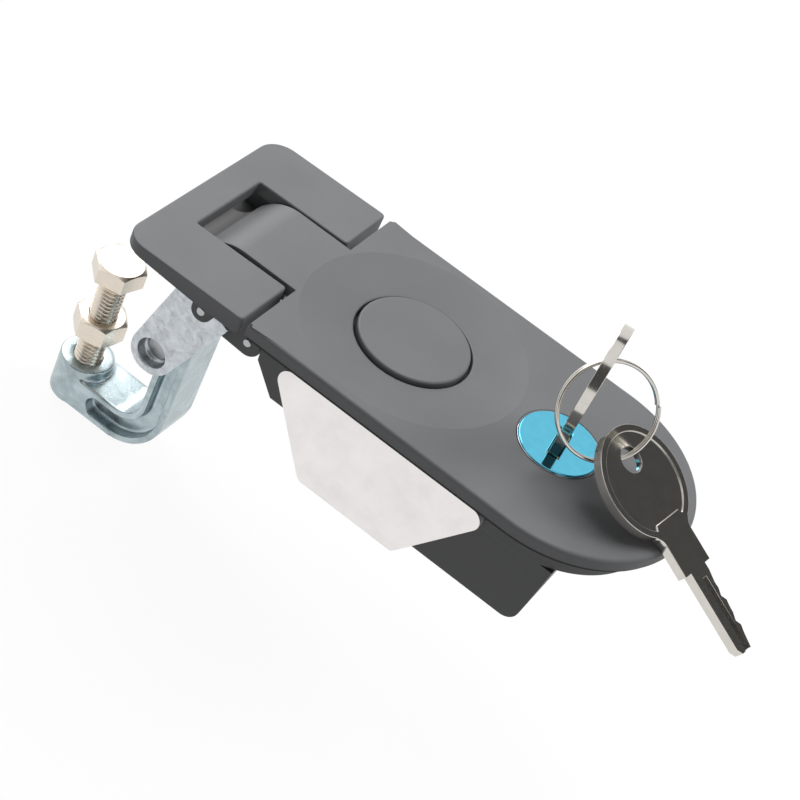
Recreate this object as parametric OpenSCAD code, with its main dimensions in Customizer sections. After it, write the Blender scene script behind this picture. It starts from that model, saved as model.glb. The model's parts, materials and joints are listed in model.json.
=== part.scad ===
// Pushbutton door lock: flush panel lock with a lift handle, a push button, a keyed cylinder
// and a C-shaped pawl that grips the frame with an adjustable bolt.
// Millimetres. Origin on the push button's axis at the panel's outer surface.
// +X runs from the handle to the key end, +Z points out of the panel's front.

/* [Faceplate] */
// Width of the faceplate and the handle
plate_w = 50; // [46:1:56]
// Thickness of the flange
plate_t = 2.5; // [2.2:0.1:4]
// Distance from the button axis to the round end
key_end = 61.4; // [58:0.2:70]
// Distance from the button axis to the shoulder beside the handle
shoulder_x = 21.9; // [20.5:0.1:24]
// Radius on the flange's front edge
edge_r = 0.8; // [0.4:0.1:1.2]
// Width of the tongue between the handle's arms
tongue_w = 19.2; // [16:0.2:22]
// Length of the tongue's flat part, from the shoulder
tongue_flat = 12.1; // [10:0.1:15]
// Radius of the tongue's downward bend
tongue_bend_r = 9.8; // [8:0.2:12]
// Wall thickness of the tongue
tongue_t = 2.5; // [2:0.1:3]
// Steepest slope of the tongue, in degrees
tongue_slope = 66; // [60:1:68]
// Depth of the finger cup's floor below the faceplate's front
cup_depth = 9.1; // [8:0.1:9.3]
// Length of the finger cup's flat floor
cup_floor = 0.6; // [0:0.1:1.5]
// Diameter of the dish round the button
dish_d = 45.6; // [38:0.2:48]
// Depth of the dish at its centre
dish_depth = 1.5; // [0.6:0.1:1.9]
// Distance of the locating rim from the gasket's band
rim_in = 2.1; // [1.9:0.1:3]
// Depth of the locating rim below the flange
rim_h = 5.5; // [3:0.5:8]
// Wall of the locating rim
rim_t = 1.8; // [1.2:0.1:2.4]

/* [Gasket] */
// Thickness of the gasket under the flange
gasket_t = 1; // [0.5:0.1:2]
// Distance that the gasket stays inside the flange's edge
gasket_inset = 0.5; // [0.3:0.1:1.5]
// Width of the gasket's band
gasket_band = 1.4; // [1:0.1:1.5]

/* [Button] */
// Diameter of the push button
button_d = 22.5; // [18:0.5:24]
// Gap round the button in the dish
button_gap = 0.6; // [0.3:0.1:1]
// Distance from the front of the flange down to the button's face
button_recess = 0.3; // [0:0.1:1]
// Travel of the button
button_travel = 2.5; // [1.5:0.1:3]
// Height of the button's cap
button_h = 4.4; // [4:0.1:5]
// Width of the collar that keeps the button in
button_collar = 1.4; // [0.8:0.1:1.6]
// Wire diameter of the button's spring
button_wire = 0.9; // [0.6:0.1:1.2]
// Mean radius of the button's spring
button_coil_r = 7.5; // [6.5:0.5:8.5]

/* [Housing] */
// Half width of the housing's shallow part
shallow_half_w = 20; // [19.6:0.1:20.4]
// Depth of the shallow part below the panel's surface
shallow_depth = 12.3; // [12:0.1:14]
// Half width of the deep part
deep_half_w = 19; // [18:0.5:19.2]
// Gap between the lock's cam and the floor of the box
cam_room = 3; // [0.6:0.1:4]
// Distance from the button axis to the housing's key end, at the top
box_end_x = 47.6; // [46:0.2:50]
// Wall of the housing
wall_t = 2; // [1.5:0.1:2.5]
// Corner radius along the housing's lower end
box_r = 3; // [2:0.5:4]

/* [Bracket] */
// Outer width of the bracket over its cheeks
bracket_w = 46; // [45.6:0.1:47]
// Sheet thickness of the bracket
bracket_t = 1.7; // [1.2:0.1:1.8]
// Length of the bracket's upper edge
bracket_top_l = 45.5; // [40:0.5:48]
// Length of the bracket's lower edge
bracket_web_l = 21; // [18:0.5:26]
// Middle of the bracket along the lock
bracket_x = 9.3; // [8:0.1:10.5]
// Thickness of the panel that the bracket clamps
panel_t = 1.2; // [0.8:0.1:3]
// Corner radius of the bracket's cheeks
bracket_corner_r = 2.6; // [1:0.1:4]
// Inside bend radius of the bracket
bracket_bend_r = 1; // [0.5:0.1:1.8]

/* [Handle] */
// Length of the handle, arm ends to closed end
handle_l = 28; // [26:0.5:32]
// Gap between the handle and the shoulder
handle_gap = 1.4; // [1.2:0.1:2]
// Height of the arm ends below the front face
arm_t = 3.7; // [3.2:0.1:4]
// Thickness of the bar at the closed end
bar_t = 2.1; // [1.8:0.1:3]
// Width of the bar at the closed end
bar_w = 6.7; // [5.5:0.1:8]
// Drop of the front face at the closed end
handle_drop = 0.55; // [0:0.05:0.8]
// Corner radius at the closed end
handle_corner_r = 5; // [3:0.5:7]
// Gap between the tongue and each arm
tongue_gap = 0.8; // [0.5:0.1:1.2]
// How far the handle lifts, in degrees
handle_open = 55; // [30:1:55]
// Diameter of the handle's hinge pin
handle_pin_d = 3; // [2.5:0.1:3.4]
// Distance from the shoulder to the hinge pin
hinge_back = 10.5; // [10:0.1:11]
// Depth of the hinge pin below the panel's surface
hinge_depth = 3.4; // [3.2:0.1:3.8]
// Distance from the hinge pin to the drive pin along the lock
drive_dx = 8.2; // [7.8:0.1:8.6]
// Distance from the hinge pin down to the drive pin
drive_dz = 5.4; // [5:0.1:5.8]

/* [Pawl carrier] */
// Distance between the cheeks' outer faces
cheek_span = 38; // [37:0.2:38.4]
// Thickness of each cheek
cheek_t = 3; // [2.5:0.1:3.2]
// Distance from the hinge pin back to the pawl's pivot
pivot_dx = 7.6; // [7:0.1:8.2]
// Distance from the hinge pin down to the pawl's pivot
pivot_dz = 19.5; // [18.5:0.1:21]
// Radius of the cheek round the pivot
pivot_boss_r = 4.9; // [4.4:0.1:5.4]
// Diameter of the pawl's pivot pin
pivot_pin_d = 5; // [4:0.1:5.4]
// Length of the cheek's upper edge ahead of the pawl side
cheek_top_l = 13.3; // [12:0.1:14]

/* [Pawl] */
// Width of the pawl
pawl_w = 11; // [10:0.5:13]
// Width of the pawl's leg, seen from the side
leg_w = 6.3; // [5.5:0.1:7]
// Distance from the pivot down to the pawl's floor
floor_drop = 32.1; // [28:0.1:36]
// Thickness of the pawl's floor
floor_t = 7.8; // [6:0.1:9]
// Distance from the pivot back to the grip bolt
bolt_dx = 21.3; // [19:0.1:23]
// Radius of the boss round the grip bolt
bolt_boss_r = 5.8; // [5.2:0.1:6.4]
// Height of that boss above the floor
bolt_boss_h = 2.4; // [1:0.1:4]
// Outer radius of the pawl's heel
heel_r = 12; // [9:0.5:13]
// Inner radius of the pawl's heel
throat_r = 5; // [3:0.5:6]
// Depth of the pocket in each side
pocket_d = 2.6; // [0.8:0.1:3.5]
// Width of the rim round the pocket
pocket_rim = 1.5; // [1.1:0.1:2]
// Distance from the pivot up to the link pin
tail_l = 11; // [10.8:0.1:11.2]

/* [Grip bolt] */
// Thread diameter of the grip bolt
bolt_d = 6; // [5:0.5:6]
// Length under the bolt's head
bolt_l = 30; // [28:1:35]
// Height from the pawl's pivot down to the top of the bolt's head
bolt_top_drop = 2.9; // [1:0.1:6]
// Width across flats of the head and the nut
hex_af = 10; // [8:0.5:10]
// Height of the bolt's head
head_h = 4; // [3.5:0.1:5]
// Thickness of the jam nut
nut_h = 5; // [3:0.1:6]
// Distance from the bolt's head to the nut
nut_drop = 10.7; // [9:0.1:12]

/* [Lock cylinder] */
// Distance from the button axis to the lock's axis
lock_x = 33.2; // [32:0.1:34.5]
// Diameter of the lock's face in the faceplate
face_d = 16.6; // [15:0.1:17.5]
// Diameter of the coloured cap
cap_d = 16.1; // [14:0.1:16.2]
// Diameter of the barrel
barrel_d = 14.6; // [12.5:0.1:14.8]
// Room in the core past the key's tip
tip_room = 0.4; // [0.3:0.1:1]
// Diameter of the turning core
plug_d = 10.4; // [9.4:0.1:11]
// Length of the cam's arm
cam_l = 10; // [8:0.5:10.5]
// How far the key turns, in degrees
key_turn = 90; // [45:5:90]

/* [Keys] */
// Thickness of a key
key_t = 2; // [1.6:0.1:2.3]
// Width of a key's bow
bow_w = 20.2; // [18:0.2:22]
// Length of a key's bow
bow_l = 21.8; // [20:0.2:26]
// Width of a key's shoulder
neck_w = 8.1; // [7.4:0.1:9]
// Length from the bow to the end of the shoulder
neck_l = 7.2; // [5:0.2:10]
// Width of a key's blade
blade_w = 4.8; // [4:0.1:6]
// Length of a key's blade
blade_l = 17; // [15:0.5:19]
// Diameter of the hole in a key's bow
key_hole_d = 5; // [4.6:0.1:5.2]
// Mean diameter of the split ring
ring_d = 18.6; // [17:0.2:20]
// Wire diameter of the split ring
ring_wire = 0.7; // [0.6:0.05:0.8]

/* [Hidden] */

// Clearances that the pieces share
run_fit = 0.05;
seat_gap = 0.3;
slack = 0.2;
past = 1;

// Levels and places that follow from the sizes above
front_z = gasket_t + plate_t;
housing_x = -shoulder_x + 1.9;
round_r = plate_w / 2;
rim_r = round_r - gasket_inset - gasket_band - rim_in;
round_x = key_end - round_r;
arm_end_x = -shoulder_x - handle_gap;
closed_end_x = arm_end_x - handle_l;
hinge_x = -shoulder_x - hinge_back;
hinge_z = -hinge_depth;
drive_x = hinge_x + drive_dx;
drive_z = hinge_z - drive_dz;
pivot_x = hinge_x - pivot_dx;
pivot_z = hinge_z - pivot_dz;
link_x = pivot_x;
link_z = pivot_z + tail_l;
bolt_x = pivot_x - bolt_dx;
floor_z = pivot_z - floor_drop;
dish_r = dish_d / 2;
dish_sphere_r = (dish_r * dish_r + dish_depth * dish_depth) / (2 * dish_depth);

// Pins and screws
drive_pin_d = 3;
link_pin_d = 3;
link_w = 5;
link_slot_w = link_w + 2 * seat_gap;
screw_d = 3;
screw_head_d = 5.6;
screw_head_h = 1.8;
screw_bite = 7;
front_screw_x = -15;
front_screw_y = 15.6;
rear_screw_x = 41;
rear_screw_y = 14;
bracket_screw_x = 5;
carrier_screw_y = 6;
tail_y = 11;
tail_t = 4.6;
hinge_lug_t = 3;
hinge_lug_r = 2.9;

// Button and catch
button_r = button_d / 2;
well_r = button_r + button_gap;
button_top_z = front_z - button_recess;
button_low_z = button_top_z - button_h;
collar_r = button_r + button_collar;
collar_h = 1.2;
button_skin = 1.6;
seat_floor_t = 1;
seat_floor_z = button_low_z - button_travel - seat_gap;
slide_t = 3.2;
slide_w = 10;
slide_top_z = seat_floor_z - seat_floor_t - seat_gap;
slide_low_z = slide_top_z - slide_t;
slide_nose_x = drive_x + drive_pin_d / 2 + 0.4;
slide_tail_x = 15;
stem_w = 6;
stem_y = 5;
stem_low_z = slide_low_z + 0.3;
stem_foot_x = -0.8;
pocket_end_x = 22.5;
catch_coil_r = 1.1;
catch_wire = 0.5;

// Lock
lock_head_t = 1.2;
cap_t = 0.6;
barrel_low_z = front_z - cap_t - blade_l - tip_room;
barrel_l = front_z - barrel_low_z;
cam_t = 1.6;
cam_hub_r = 5;
cam_arm_w = 5;
cam_square = 5;
cam_screw_l = 1.7;
cam_screw_d = 2;
cam_z = barrel_low_z - cam_t - seat_gap;
deep_depth = wall_t + cam_room - cam_z;
key_slot_w = key_t + 2 * slack;
clip_t = 1;
clip_z = gasket_t - clip_t;

// Keys and ring: where the ring hangs in the standing key, and which way it leans
key_yaw = 8.6;
bow_panel_d = 0.25;
bow_rim = 1.3;
key_hole_in = 6.4;
ring_lean = 61.6;
ring_yaw = -54.7;
ring_turn = 16.5;
ring_hang = 0.1;
spare_turn = 43.4;
spare_yaw = -6.9;
spare_pitch = 23.7;
spare_roll = -1.6;
spare_shift = [-0.65, -1];

// Coil springs
spring_sides = 8;
spring_steps = 16;

// Half of the flange's section: flat below, rounded at its front edge
module edge_section(half_w, t, r) {
    square([half_w - r, t]);
    square([half_w, t - r]);
    translate([half_w - r, t - r]) circle(r, $fn = 48);
}

// A coil of round wire that rises along Z, with flat ends
module coil(r, wire, turns, rise, fine = 1) {
    steps = ceil(turns * spring_steps * fine);
    points = [
        for (i = [0:steps])
            let (a = 360 * turns * i / steps, z = rise * i / steps)
            for (j = [0:spring_sides - 1])
                let (b = 360 * j / spring_sides, q = r + wire / 2 * cos(b))
                [q * cos(a), q * sin(a), z + wire / 2 * sin(b)]
    ];
    walls = [
        for (i = [0:steps - 1])
            for (j = [0:spring_sides - 1])
                let (k = (j + 1) % spring_sides, low = i * spring_sides, high = low + spring_sides)
                [low + j, low + k, high + k, high + j]
    ];
    low_end = [[for (j = [spring_sides - 1:-1:0]) j]];
    high_end = [[for (j = [0:spring_sides - 1]) steps * spring_sides + j]];
    polyhedron(points, concat(walls, low_end, high_end));
}

// A straight hole or pin along Y at a place in the XZ plane
module across(x, z, r, w, y = 0) {
    translate([x, y + w / 2, z]) rotate([90, 0, 0]) cylinder(h = w, r = r, $fn = 64);
}

// A side profile, drawn in XZ, given a width along Y and centred on a place
module slab(w, y = 0) {
    translate([0, y + w / 2, 0]) rotate([90, 0, 0]) linear_extrude(w) children();
}

// A pan head screw that points along -Z from the underside of its head
module pan_screw(l) {
    cylinder(h = screw_head_h, d = screw_head_d, $fn = 48);
    translate([0, 0, -l]) cylinder(h = l + 0.1, d = screw_d, $fn = 40);
}

function front_screw_places() = [for (s = [1, -1]) [front_screw_x, s * front_screw_y]];
function rear_screw_places() = [for (s = [1, -1]) [rear_screw_x, s * rear_screw_y]];
function bracket_screw_places() = [bracket_x - bracket_screw_x, bracket_x + bracket_screw_x];
function carrier_screw_places() = [-carrier_screw_y, carrier_screw_y];

// Faceplate: flange with a dish, a tongue that bends down in the handle, and the locating rim
module tongue_profile() {
    bend = [-shoulder_x - tongue_flat, front_z - tongue_bend_r];
    s = tongue_slope;
    cup_r = (cup_depth - tongue_bend_r * (1 - cos(s))) / (1 - cos(s));
    cup = bend + (tongue_bend_r + cup_r) * [-sin(s), cos(s)];
    reach = 3 * tongue_bend_r;
    translate([bend[0] - 0.01, front_z - tongue_t]) square([tongue_flat + past, tongue_t]);
    intersection() {
        translate(bend) difference() {
            circle(tongue_bend_r, $fn = 120);
            circle(tongue_bend_r - tongue_t, $fn = 120);
        }
        translate(bend) polygon([[0, 0], [0, reach], reach * [-tan(s / 2), 1], reach * [-sin(s), cos(s)]]);
    }
    intersection() {
        translate(cup) difference() {
            circle(cup_r + tongue_t, $fn = 120);
            circle(cup_r, $fn = 120);
        }
        translate(cup) polygon([[0, 0], [0, -reach], reach * [tan(s / 2), -1], reach * [sin(s), -cos(s)]]);
    }
    translate([cup[0] - cup_floor, cup[1] - cup_r - tongue_t]) square([cup_floor + 0.01, tongue_t]);
}

module faceplate() {
    color([0.33, 0.34, 0.35])
    difference() {
        union() {
            translate([round_x, 0, gasket_t]) rotate([0, 0, -90]) rotate_extrude(angle = 180, $fn = 160)
                edge_section(round_r, plate_t, edge_r);
            translate([-shoulder_x, 0, gasket_t]) rotate([90, 0, 90])
                linear_extrude(round_x + shoulder_x) {
                    edge_section(round_r, plate_t, edge_r);
                    mirror([1, 0, 0]) edge_section(round_r, plate_t, edge_r);
                }
            slab(tongue_w) tongue_profile();
            locating_rim();
            for (p = concat(front_screw_places(), rear_screw_places()))
                translate([p[0], p[1], gasket_t - 3]) cylinder(h = 3 + plate_t / 2, r = 2.6, $fn = 40);
        }
        translate([0, 0, front_z - dish_depth + dish_sphere_r]) sphere(dish_sphere_r, $fn = 360);
        translate([0, 0, gasket_t - past]) cylinder(h = plate_t + 2 * past, r = well_r, $fn = 120);
        translate([lock_x, 0, gasket_t - past])
            cylinder(h = plate_t + 2 * past, d = barrel_d + slack, $fn = 96);
        translate([lock_x, 0, front_z - lock_head_t])
            cylinder(h = lock_head_t + past, d = face_d + slack, $fn = 96);
        for (p = concat(front_screw_places(), rear_screw_places()))
            translate([p[0], p[1], gasket_t - 3 - past])
                cylinder(h = 3.8 + past, d = screw_d + 2 * run_fit, $fn = 32);
        for (y = carrier_screw_places())
            translate([carrier_screw_x(), y, gasket_t - past])
                cylinder(h = 1.4 + past, d = screw_d + 2 * run_fit, $fn = 32);
    }
}

module locating_rim() {
    rim_start_x = 24;
    translate([0, 0, -rim_h]) linear_extrude(rim_h + gasket_t + 0.1) difference() {
        union() {
            translate([round_x, 0]) circle(rim_r, $fn = 160);
            translate([rim_start_x, -rim_r]) square([round_x - rim_start_x, 2 * rim_r]);
        }
        translate([round_x, 0]) circle(rim_r - rim_t, $fn = 160);
        translate([rim_start_x - plate_w, rim_t - rim_r])
            square([round_x - rim_start_x + plate_w, 2 * (rim_r - rim_t)]);
        translate([rim_start_x - plate_w, -plate_w]) square([plate_w, 2 * plate_w]);
    }
}

// Gasket: a band under the flange, open where the housing passes
module gasket_outline(inset) {
    r = round_r - inset;
    translate([round_x, 0]) circle(r, $fn = 160);
    translate([inset - shoulder_x, -r]) square([round_x + shoulder_x - inset, 2 * r]);
}

module panel_gasket() {
    color([0.12, 0.12, 0.13])
    linear_extrude(gasket_t) difference() {
        gasket_outline(gasket_inset);
        gasket_outline(gasket_inset + gasket_band);
        translate([housing_x - slack, gasket_inset + gasket_band - round_r])
            square([gasket_band + 1, plate_w - 2 * (gasket_inset + gasket_band)]);
    }
}

// Housing: a shallow part for the button and catch, and a deep part for the cylinder
module housing_profile() {
    polygon([
        [housing_x, gasket_t], [housing_x + 0.6, -6.5], [housing_x + 5.8, -shallow_depth],
        [pocket_end_x, -shallow_depth], [pocket_end_x, gasket_t]
    ]);
}

module deep_profile() {
    foot_x = box_end_x - 2.2;
    difference() {
        polygon([
            [-5, -shallow_depth + 1], [-5, -shallow_depth], [0, -deep_depth],
            [foot_x, -deep_depth], [box_end_x, gasket_t], [pocket_end_x - 1, gasket_t],
            [pocket_end_x - 1, -shallow_depth + 1]
        ]);
        translate([foot_x - box_r, -deep_depth]) difference() {
            translate([0, -past]) square([box_r + past, box_r + past]);
            translate([0.25, box_r]) circle(box_r, $fn = 64);
        }
    }
}

module rear_housing() {
    color([0.25, 0.26, 0.27])
    difference() {
        union() {
            slab(2 * shallow_half_w) housing_profile();
            slab(2 * deep_half_w) deep_profile();
        }
        housing_hollows();
        rim_room();
    }
}

// Room in the housing's corners for the faceplate's locating rim
module rim_room() {
    room_z = -rim_h - seat_gap;
    translate([round_x, 0, room_z]) difference() {
        cylinder(h = rim_h + 2 * past, r = plate_w, $fn = 160);
        translate([0, 0, -past]) cylinder(h = rim_h + 4 * past, r = rim_r - rim_t - seat_gap, $fn = 160);
        translate([-2 * round_r, -round_r, -past]) cube([2 * round_r, 2 * round_r, rim_h + 4 * past]);
    }
}

module housing_hollows() {
    chamber_w = 2 * (deep_half_w - wall_t);
    chamber_x = 2;
    chamber_l = box_end_x - 2.2 - wall_t - chamber_x;
    low_z = wall_t - deep_depth;
    // Lower chamber, and the tall chamber round the lock
    difference() {
        union() {
            translate([chamber_x, -chamber_w / 2, low_z])
                cube([chamber_l, chamber_w, deep_depth - wall_t - 10.6]);
            translate([pocket_end_x + wall_t, -chamber_w / 2, low_z])
                cube([chamber_x + chamber_l - pocket_end_x - wall_t, chamber_w, deep_depth + 3]);
        }
        for (p = rear_screw_places())
            translate([p[0], p[1], low_z - past]) cylinder(h = deep_depth - 4, r = 3, $fn = 48);
        for (x = bracket_screw_places())
            translate([x, 0, low_z - past]) cylinder(h = screw_bite + past, r = 3, $fn = 48);
    }
    // Button well, with the floor that carries the spring
    translate([0, 0, seat_floor_z]) cylinder(h = 12, r = collar_r + slack, $fn = 120);
    // Channel of the catch slide, open at the handle's end
    translate([-shoulder_x - past, -slide_w / 2 - slack, slide_low_z - slack])
        cube([pocket_end_x + shoulder_x + past - wall_t, slide_w + 2 * slack, slide_t + 2 * slack]);
    // Passage and foot room for the button's stem
    translate([-stem_w / 2 - slack - 0.3, -stem_y / 2 - seat_gap, -shallow_depth + 0.7])
        cube([stem_w + 2, stem_y + 2 * seat_gap, 12]);
    // Way in for the cam's screw
    translate([lock_x, 0, -deep_depth - past]) cylinder(h = wall_t + 2 * past, r = 4.6, $fn = 64);
    // Holes for the screws
    for (p = front_screw_places())
        translate([p[0], p[1], -shallow_depth - past]) {
            cylinder(h = shallow_depth + 2 * past, d = screw_d + 2 * slack, $fn = 40);
            cylinder(h = screw_head_h + past, d = screw_head_d + 2 * slack, $fn = 48);
        }
    for (p = rear_screw_places())
        translate([p[0], p[1], -deep_depth - past]) {
            cylinder(h = deep_depth + 2 * past, d = screw_d + 2 * slack, $fn = 40);
            cylinder(h = screw_head_h + past, d = screw_head_d + 2 * slack, $fn = 48);
        }
    for (p = concat(front_screw_places(), rear_screw_places()))
        translate([p[0], p[1], gasket_t - 3 - slack]) cylinder(h = 3 + past, r = 2.6 + slack, $fn = 48);
    for (x = bracket_screw_places())
        translate([x, 0, -deep_depth - past])
            cylinder(h = screw_bite + past, d = screw_d + 2 * run_fit, $fn = 40);
}

module housing_screws() {
    color([0.62, 0.63, 0.65]) {
        for (p = front_screw_places())
            translate([p[0], p[1], screw_head_h - shallow_depth]) mirror([0, 0, 1])
                pan_screw(shallow_depth + gasket_t - screw_head_h + 0.4);
        for (p = rear_screw_places())
            translate([p[0], p[1], screw_head_h - deep_depth]) mirror([0, 0, 1])
                pan_screw(deep_depth + gasket_t - screw_head_h + 0.4);
    }
}

// Bracket: sheet folded into a U, with tapered cheeks that bear on the panel's back
module cheek_outline() {
    top_z = -panel_t;
    low_z = -deep_depth - seat_gap - bracket_t;
    r = bracket_corner_r;
    half_top = bracket_top_l / 2 - r;
    half_low = bracket_web_l / 2;
    foot_r = 1.2;
    hull() {
        for (s = [-1, 1]) {
            translate([bracket_x + s * half_top, top_z - r]) circle(r, $fn = 40);
            translate([bracket_x + s * (half_low - foot_r), low_z + foot_r]) circle(foot_r, $fn = 24);
        }
    }
}

module mounting_bracket() {
    web_z = -deep_depth - seat_gap;
    half = bracket_w / 2;
    color([0.9, 0.88, 0.88])
    difference() {
        intersection() {
            slab(bracket_w + 2 * past) cheek_outline();
            union() {
                for (y = [-half, half - bracket_t])
                    translate([bracket_x - bracket_top_l, y, web_z + bracket_bend_r])
                        cube([2 * bracket_top_l, bracket_t, deep_depth]);
                translate([bracket_x - bracket_top_l, 0, web_z]) rotate([90, 0, 90])
                    linear_extrude(2 * bracket_top_l) bracket_fold();
            }
        }
        for (x = bracket_screw_places())
            translate([x, 0, web_z - bracket_t - past])
                cylinder(h = bracket_t + 2 * past, d = 3.4, $fn = 40);
    }
}

module bracket_fold() {
    half = bracket_w / 2;
    outer_r = bracket_bend_r + bracket_t;
    translate([outer_r - half, -bracket_t]) square([bracket_w - 2 * outer_r, bracket_t]);
    for (s = [0, 1])
        mirror([s, 0]) translate([half - outer_r, bracket_bend_r]) intersection() {
            difference() {
                circle(outer_r, $fn = 64);
                circle(bracket_bend_r, $fn = 64);
            }
            translate([0, -outer_r]) square(outer_r);
        }
}

module bracket_screws() {
    color([0.62, 0.63, 0.65])
    for (x = bracket_screw_places())
        translate([x, 0, -deep_depth - seat_gap - bracket_t])
            mirror([0, 0, 1]) pan_screw(bracket_t + screw_bite);
}

// Handle: U-shaped lift handle with hinge lugs and two tails that hold the drive pin
module handle_puck(x, y, z, r) {
    translate([x, y, z]) rotate_extrude($fn = 48) intersection() {
        edge_section(r, bar_t - 0.4, edge_r);
        square([r, bar_t]);
    }
}

module handle_body() {
    end_r = 1;
    hull() {
        for (s = [-1, 1]) {
            handle_puck(closed_end_x + handle_corner_r, s * (round_r - handle_corner_r),
                front_z - handle_drop - bar_t + 0.4, handle_corner_r);
            handle_puck(arm_end_x - end_r, s * (round_r - end_r), front_z - bar_t + 0.4, end_r);
            translate([arm_end_x - 0.5, s * (round_r - 1) - 0.5, front_z - arm_t]) cube([0.5, 1, 0.5]);
            translate([closed_end_x + handle_corner_r, s * (round_r - 1) - 0.5, front_z - handle_drop - bar_t]
            ) cube([0.5, 1, 0.5]);
        }
        translate([closed_end_x + 0.2, 4 - round_r - 2 + handle_corner_r, front_z - handle_drop - bar_t])
            cube([0.5, plate_w - 2 * handle_corner_r - 4, 0.5]);
    }
}

module tail_profile() {
    r = drive_pin_d / 2 + 1.5;
    difference() {
        union() {
            translate([drive_x, drive_z]) circle(r, $fn = 48);
            polygon([
                [hinge_x + 3.4, front_z - arm_t + 0.6], [arm_end_x - 0.3, front_z - arm_t + 0.6],
                [drive_x + r, drive_z], [drive_x - 2.4, drive_z - 1.8], [hinge_x + 3.4, drive_z + 1.5]
            ]);
        }
        translate([hinge_x, hinge_z]) circle(hinge_lug_r + seat_gap, $fn = 64);
    }
}

module handle() {
    hole_half = tongue_w / 2 + tongue_gap;
    color([0.33, 0.34, 0.35])
    difference() {
        union() {
            difference() {
                handle_body();
                translate([closed_end_x + bar_w, -hole_half, -past])
                    cube([handle_l, 2 * hole_half, front_z + 2 * past]);
            }
            for (s = [-1, 1]) {
                slab(hinge_lug_t, s * (cheek_span / 2 + seat_gap + hinge_lug_t / 2)) {
                    translate([hinge_x, hinge_z]) circle(hinge_lug_r, $fn = 64);
                    translate([hinge_x - hinge_lug_r, hinge_z])
                        square([2 * hinge_lug_r, front_z - arm_t + 1 - hinge_z]);
                }
                slab(tail_t, s * (tail_y + tail_t / 2)) tail_profile();
            }
        }
        across(hinge_x, hinge_z, handle_pin_d / 2 + run_fit, plate_w);
        across(drive_x, drive_z, drive_pin_d / 2, plate_w);
    }
}

module handle_pin() {
    color([0.75, 0.76, 0.78])
        across(hinge_x, hinge_z, handle_pin_d / 2, cheek_span + 2 * (seat_gap + hinge_lug_t));
}

module drive_pin() {
    color([0.75, 0.76, 0.78]) across(drive_x, drive_z, drive_pin_d / 2, 2 * (tail_y + tail_t));
}

// Torsion spring round the hinge barrel, between the carrier's bridge webs
spring_room = 4.6;
handle_wire = 0.7;
barrel_neck_r = 2.2;

module handle_spring() {
    r = barrel_neck_r + 0.35 + handle_wire / 2;
    turns = 5;
    color([0.7, 0.71, 0.73])
    translate([hinge_x, spring_room - 0.6, hinge_z]) rotate([90, 0, 0])
        coil(r, handle_wire, turns, 2 * spring_room - 1.2);
}

// Carrier: casting under the tongue whose cheeks hold the pawl's pivot
function carrier_screw_x() = -shoulder_x - 4.5;
carrier_top_z = front_z - tongue_t;
bridge_t = 2;

module cheek_profile() {
    skirt_z = front_z - arm_t - 0.4;
    back_top_x = pivot_x + 1.1;
    front_top_x = pivot_x + cheek_top_l - 0.6;
    front_top_z = hinge_z - hinge_lug_r;
    translate([pivot_x, pivot_z]) circle(pivot_boss_r, $fn = 80);
    polygon([
        [pivot_x - pivot_boss_r * cos(14), pivot_z + pivot_boss_r * sin(14)],
        [back_top_x, skirt_z],
        [hinge_x, skirt_z],
        [hinge_x + 1, hinge_z - 1],
        [front_top_x, front_top_z],
        [pivot_x + pivot_boss_r * cos(24), pivot_z - pivot_boss_r * sin(24)]
    ]);
}

module pawl_carrier() {
    inner_boss_w = 3;
    web_y = 9.4;
    web_l = carrier_screw_x() - screw_head_d / 2 - seat_gap - hinge_x + 0.5;
    color([0.77, 0.79, 0.81])
    difference() {
        union() {
            for (s = [-1, 1]) {
                slab(cheek_t, s * (cheek_span / 2 - cheek_t / 2)) cheek_profile();
                across(pivot_x, pivot_z, pivot_boss_r - 0.4, inner_boss_w + 0.5,
                    s * (cheek_span / 2 - cheek_t - inner_boss_w / 2 + 0.25));
                across(hinge_x, hinge_z, hinge_lug_r, cheek_span / 2 - spring_room,
                    s * (cheek_span / 2 + spring_room) / 2);
                translate([hinge_x - 0.5, s > 0 ? spring_room + 0.4 : -web_y, hinge_z])
                    cube([web_l, web_y - spring_room - 0.4, carrier_top_z - hinge_z]);
            }
            across(hinge_x, hinge_z, barrel_neck_r, 2 * spring_room + 1);
            translate([hinge_x - 1.6 + 5.2, -web_y, carrier_top_z - bridge_t])
                cube([-shoulder_x - 1 - hinge_x - 3.6, 2 * web_y, bridge_t]);
            for (s = [-1, 1])
                translate([hinge_x - 1.6, s > 0 ? spring_room + 0.4 : -web_y, carrier_top_z - bridge_t])
                    cube([6, web_y - spring_room - 0.4, bridge_t]);
        }
        across(hinge_x, hinge_z, handle_pin_d / 2, plate_w);
        across(pivot_x, pivot_z, pivot_pin_d / 2, plate_w);
        for (s = [-1, 1])
            across(pivot_x, pivot_z, 3.2, 2.5 + past, s * (cheek_span / 2 - 2.5 / 2 + past / 2));
        for (y = carrier_screw_places())
            translate([carrier_screw_x(), y, carrier_top_z - bridge_t - past])
                cylinder(h = bridge_t + 2 * past, d = 3.4, $fn = 40);
    }
}

module carrier_screws() {
    color([0.62, 0.63, 0.65])
    for (y = carrier_screw_places())
        translate([carrier_screw_x(), y, carrier_top_z - bridge_t])
            mirror([0, 0, 1]) pan_screw(bridge_t + 1.2);
}

module pawl_pivot_pin() {
    color([0.72, 0.73, 0.75]) across(pivot_x, pivot_z, pivot_pin_d / 2, cheek_span - 5.2);
}

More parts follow.
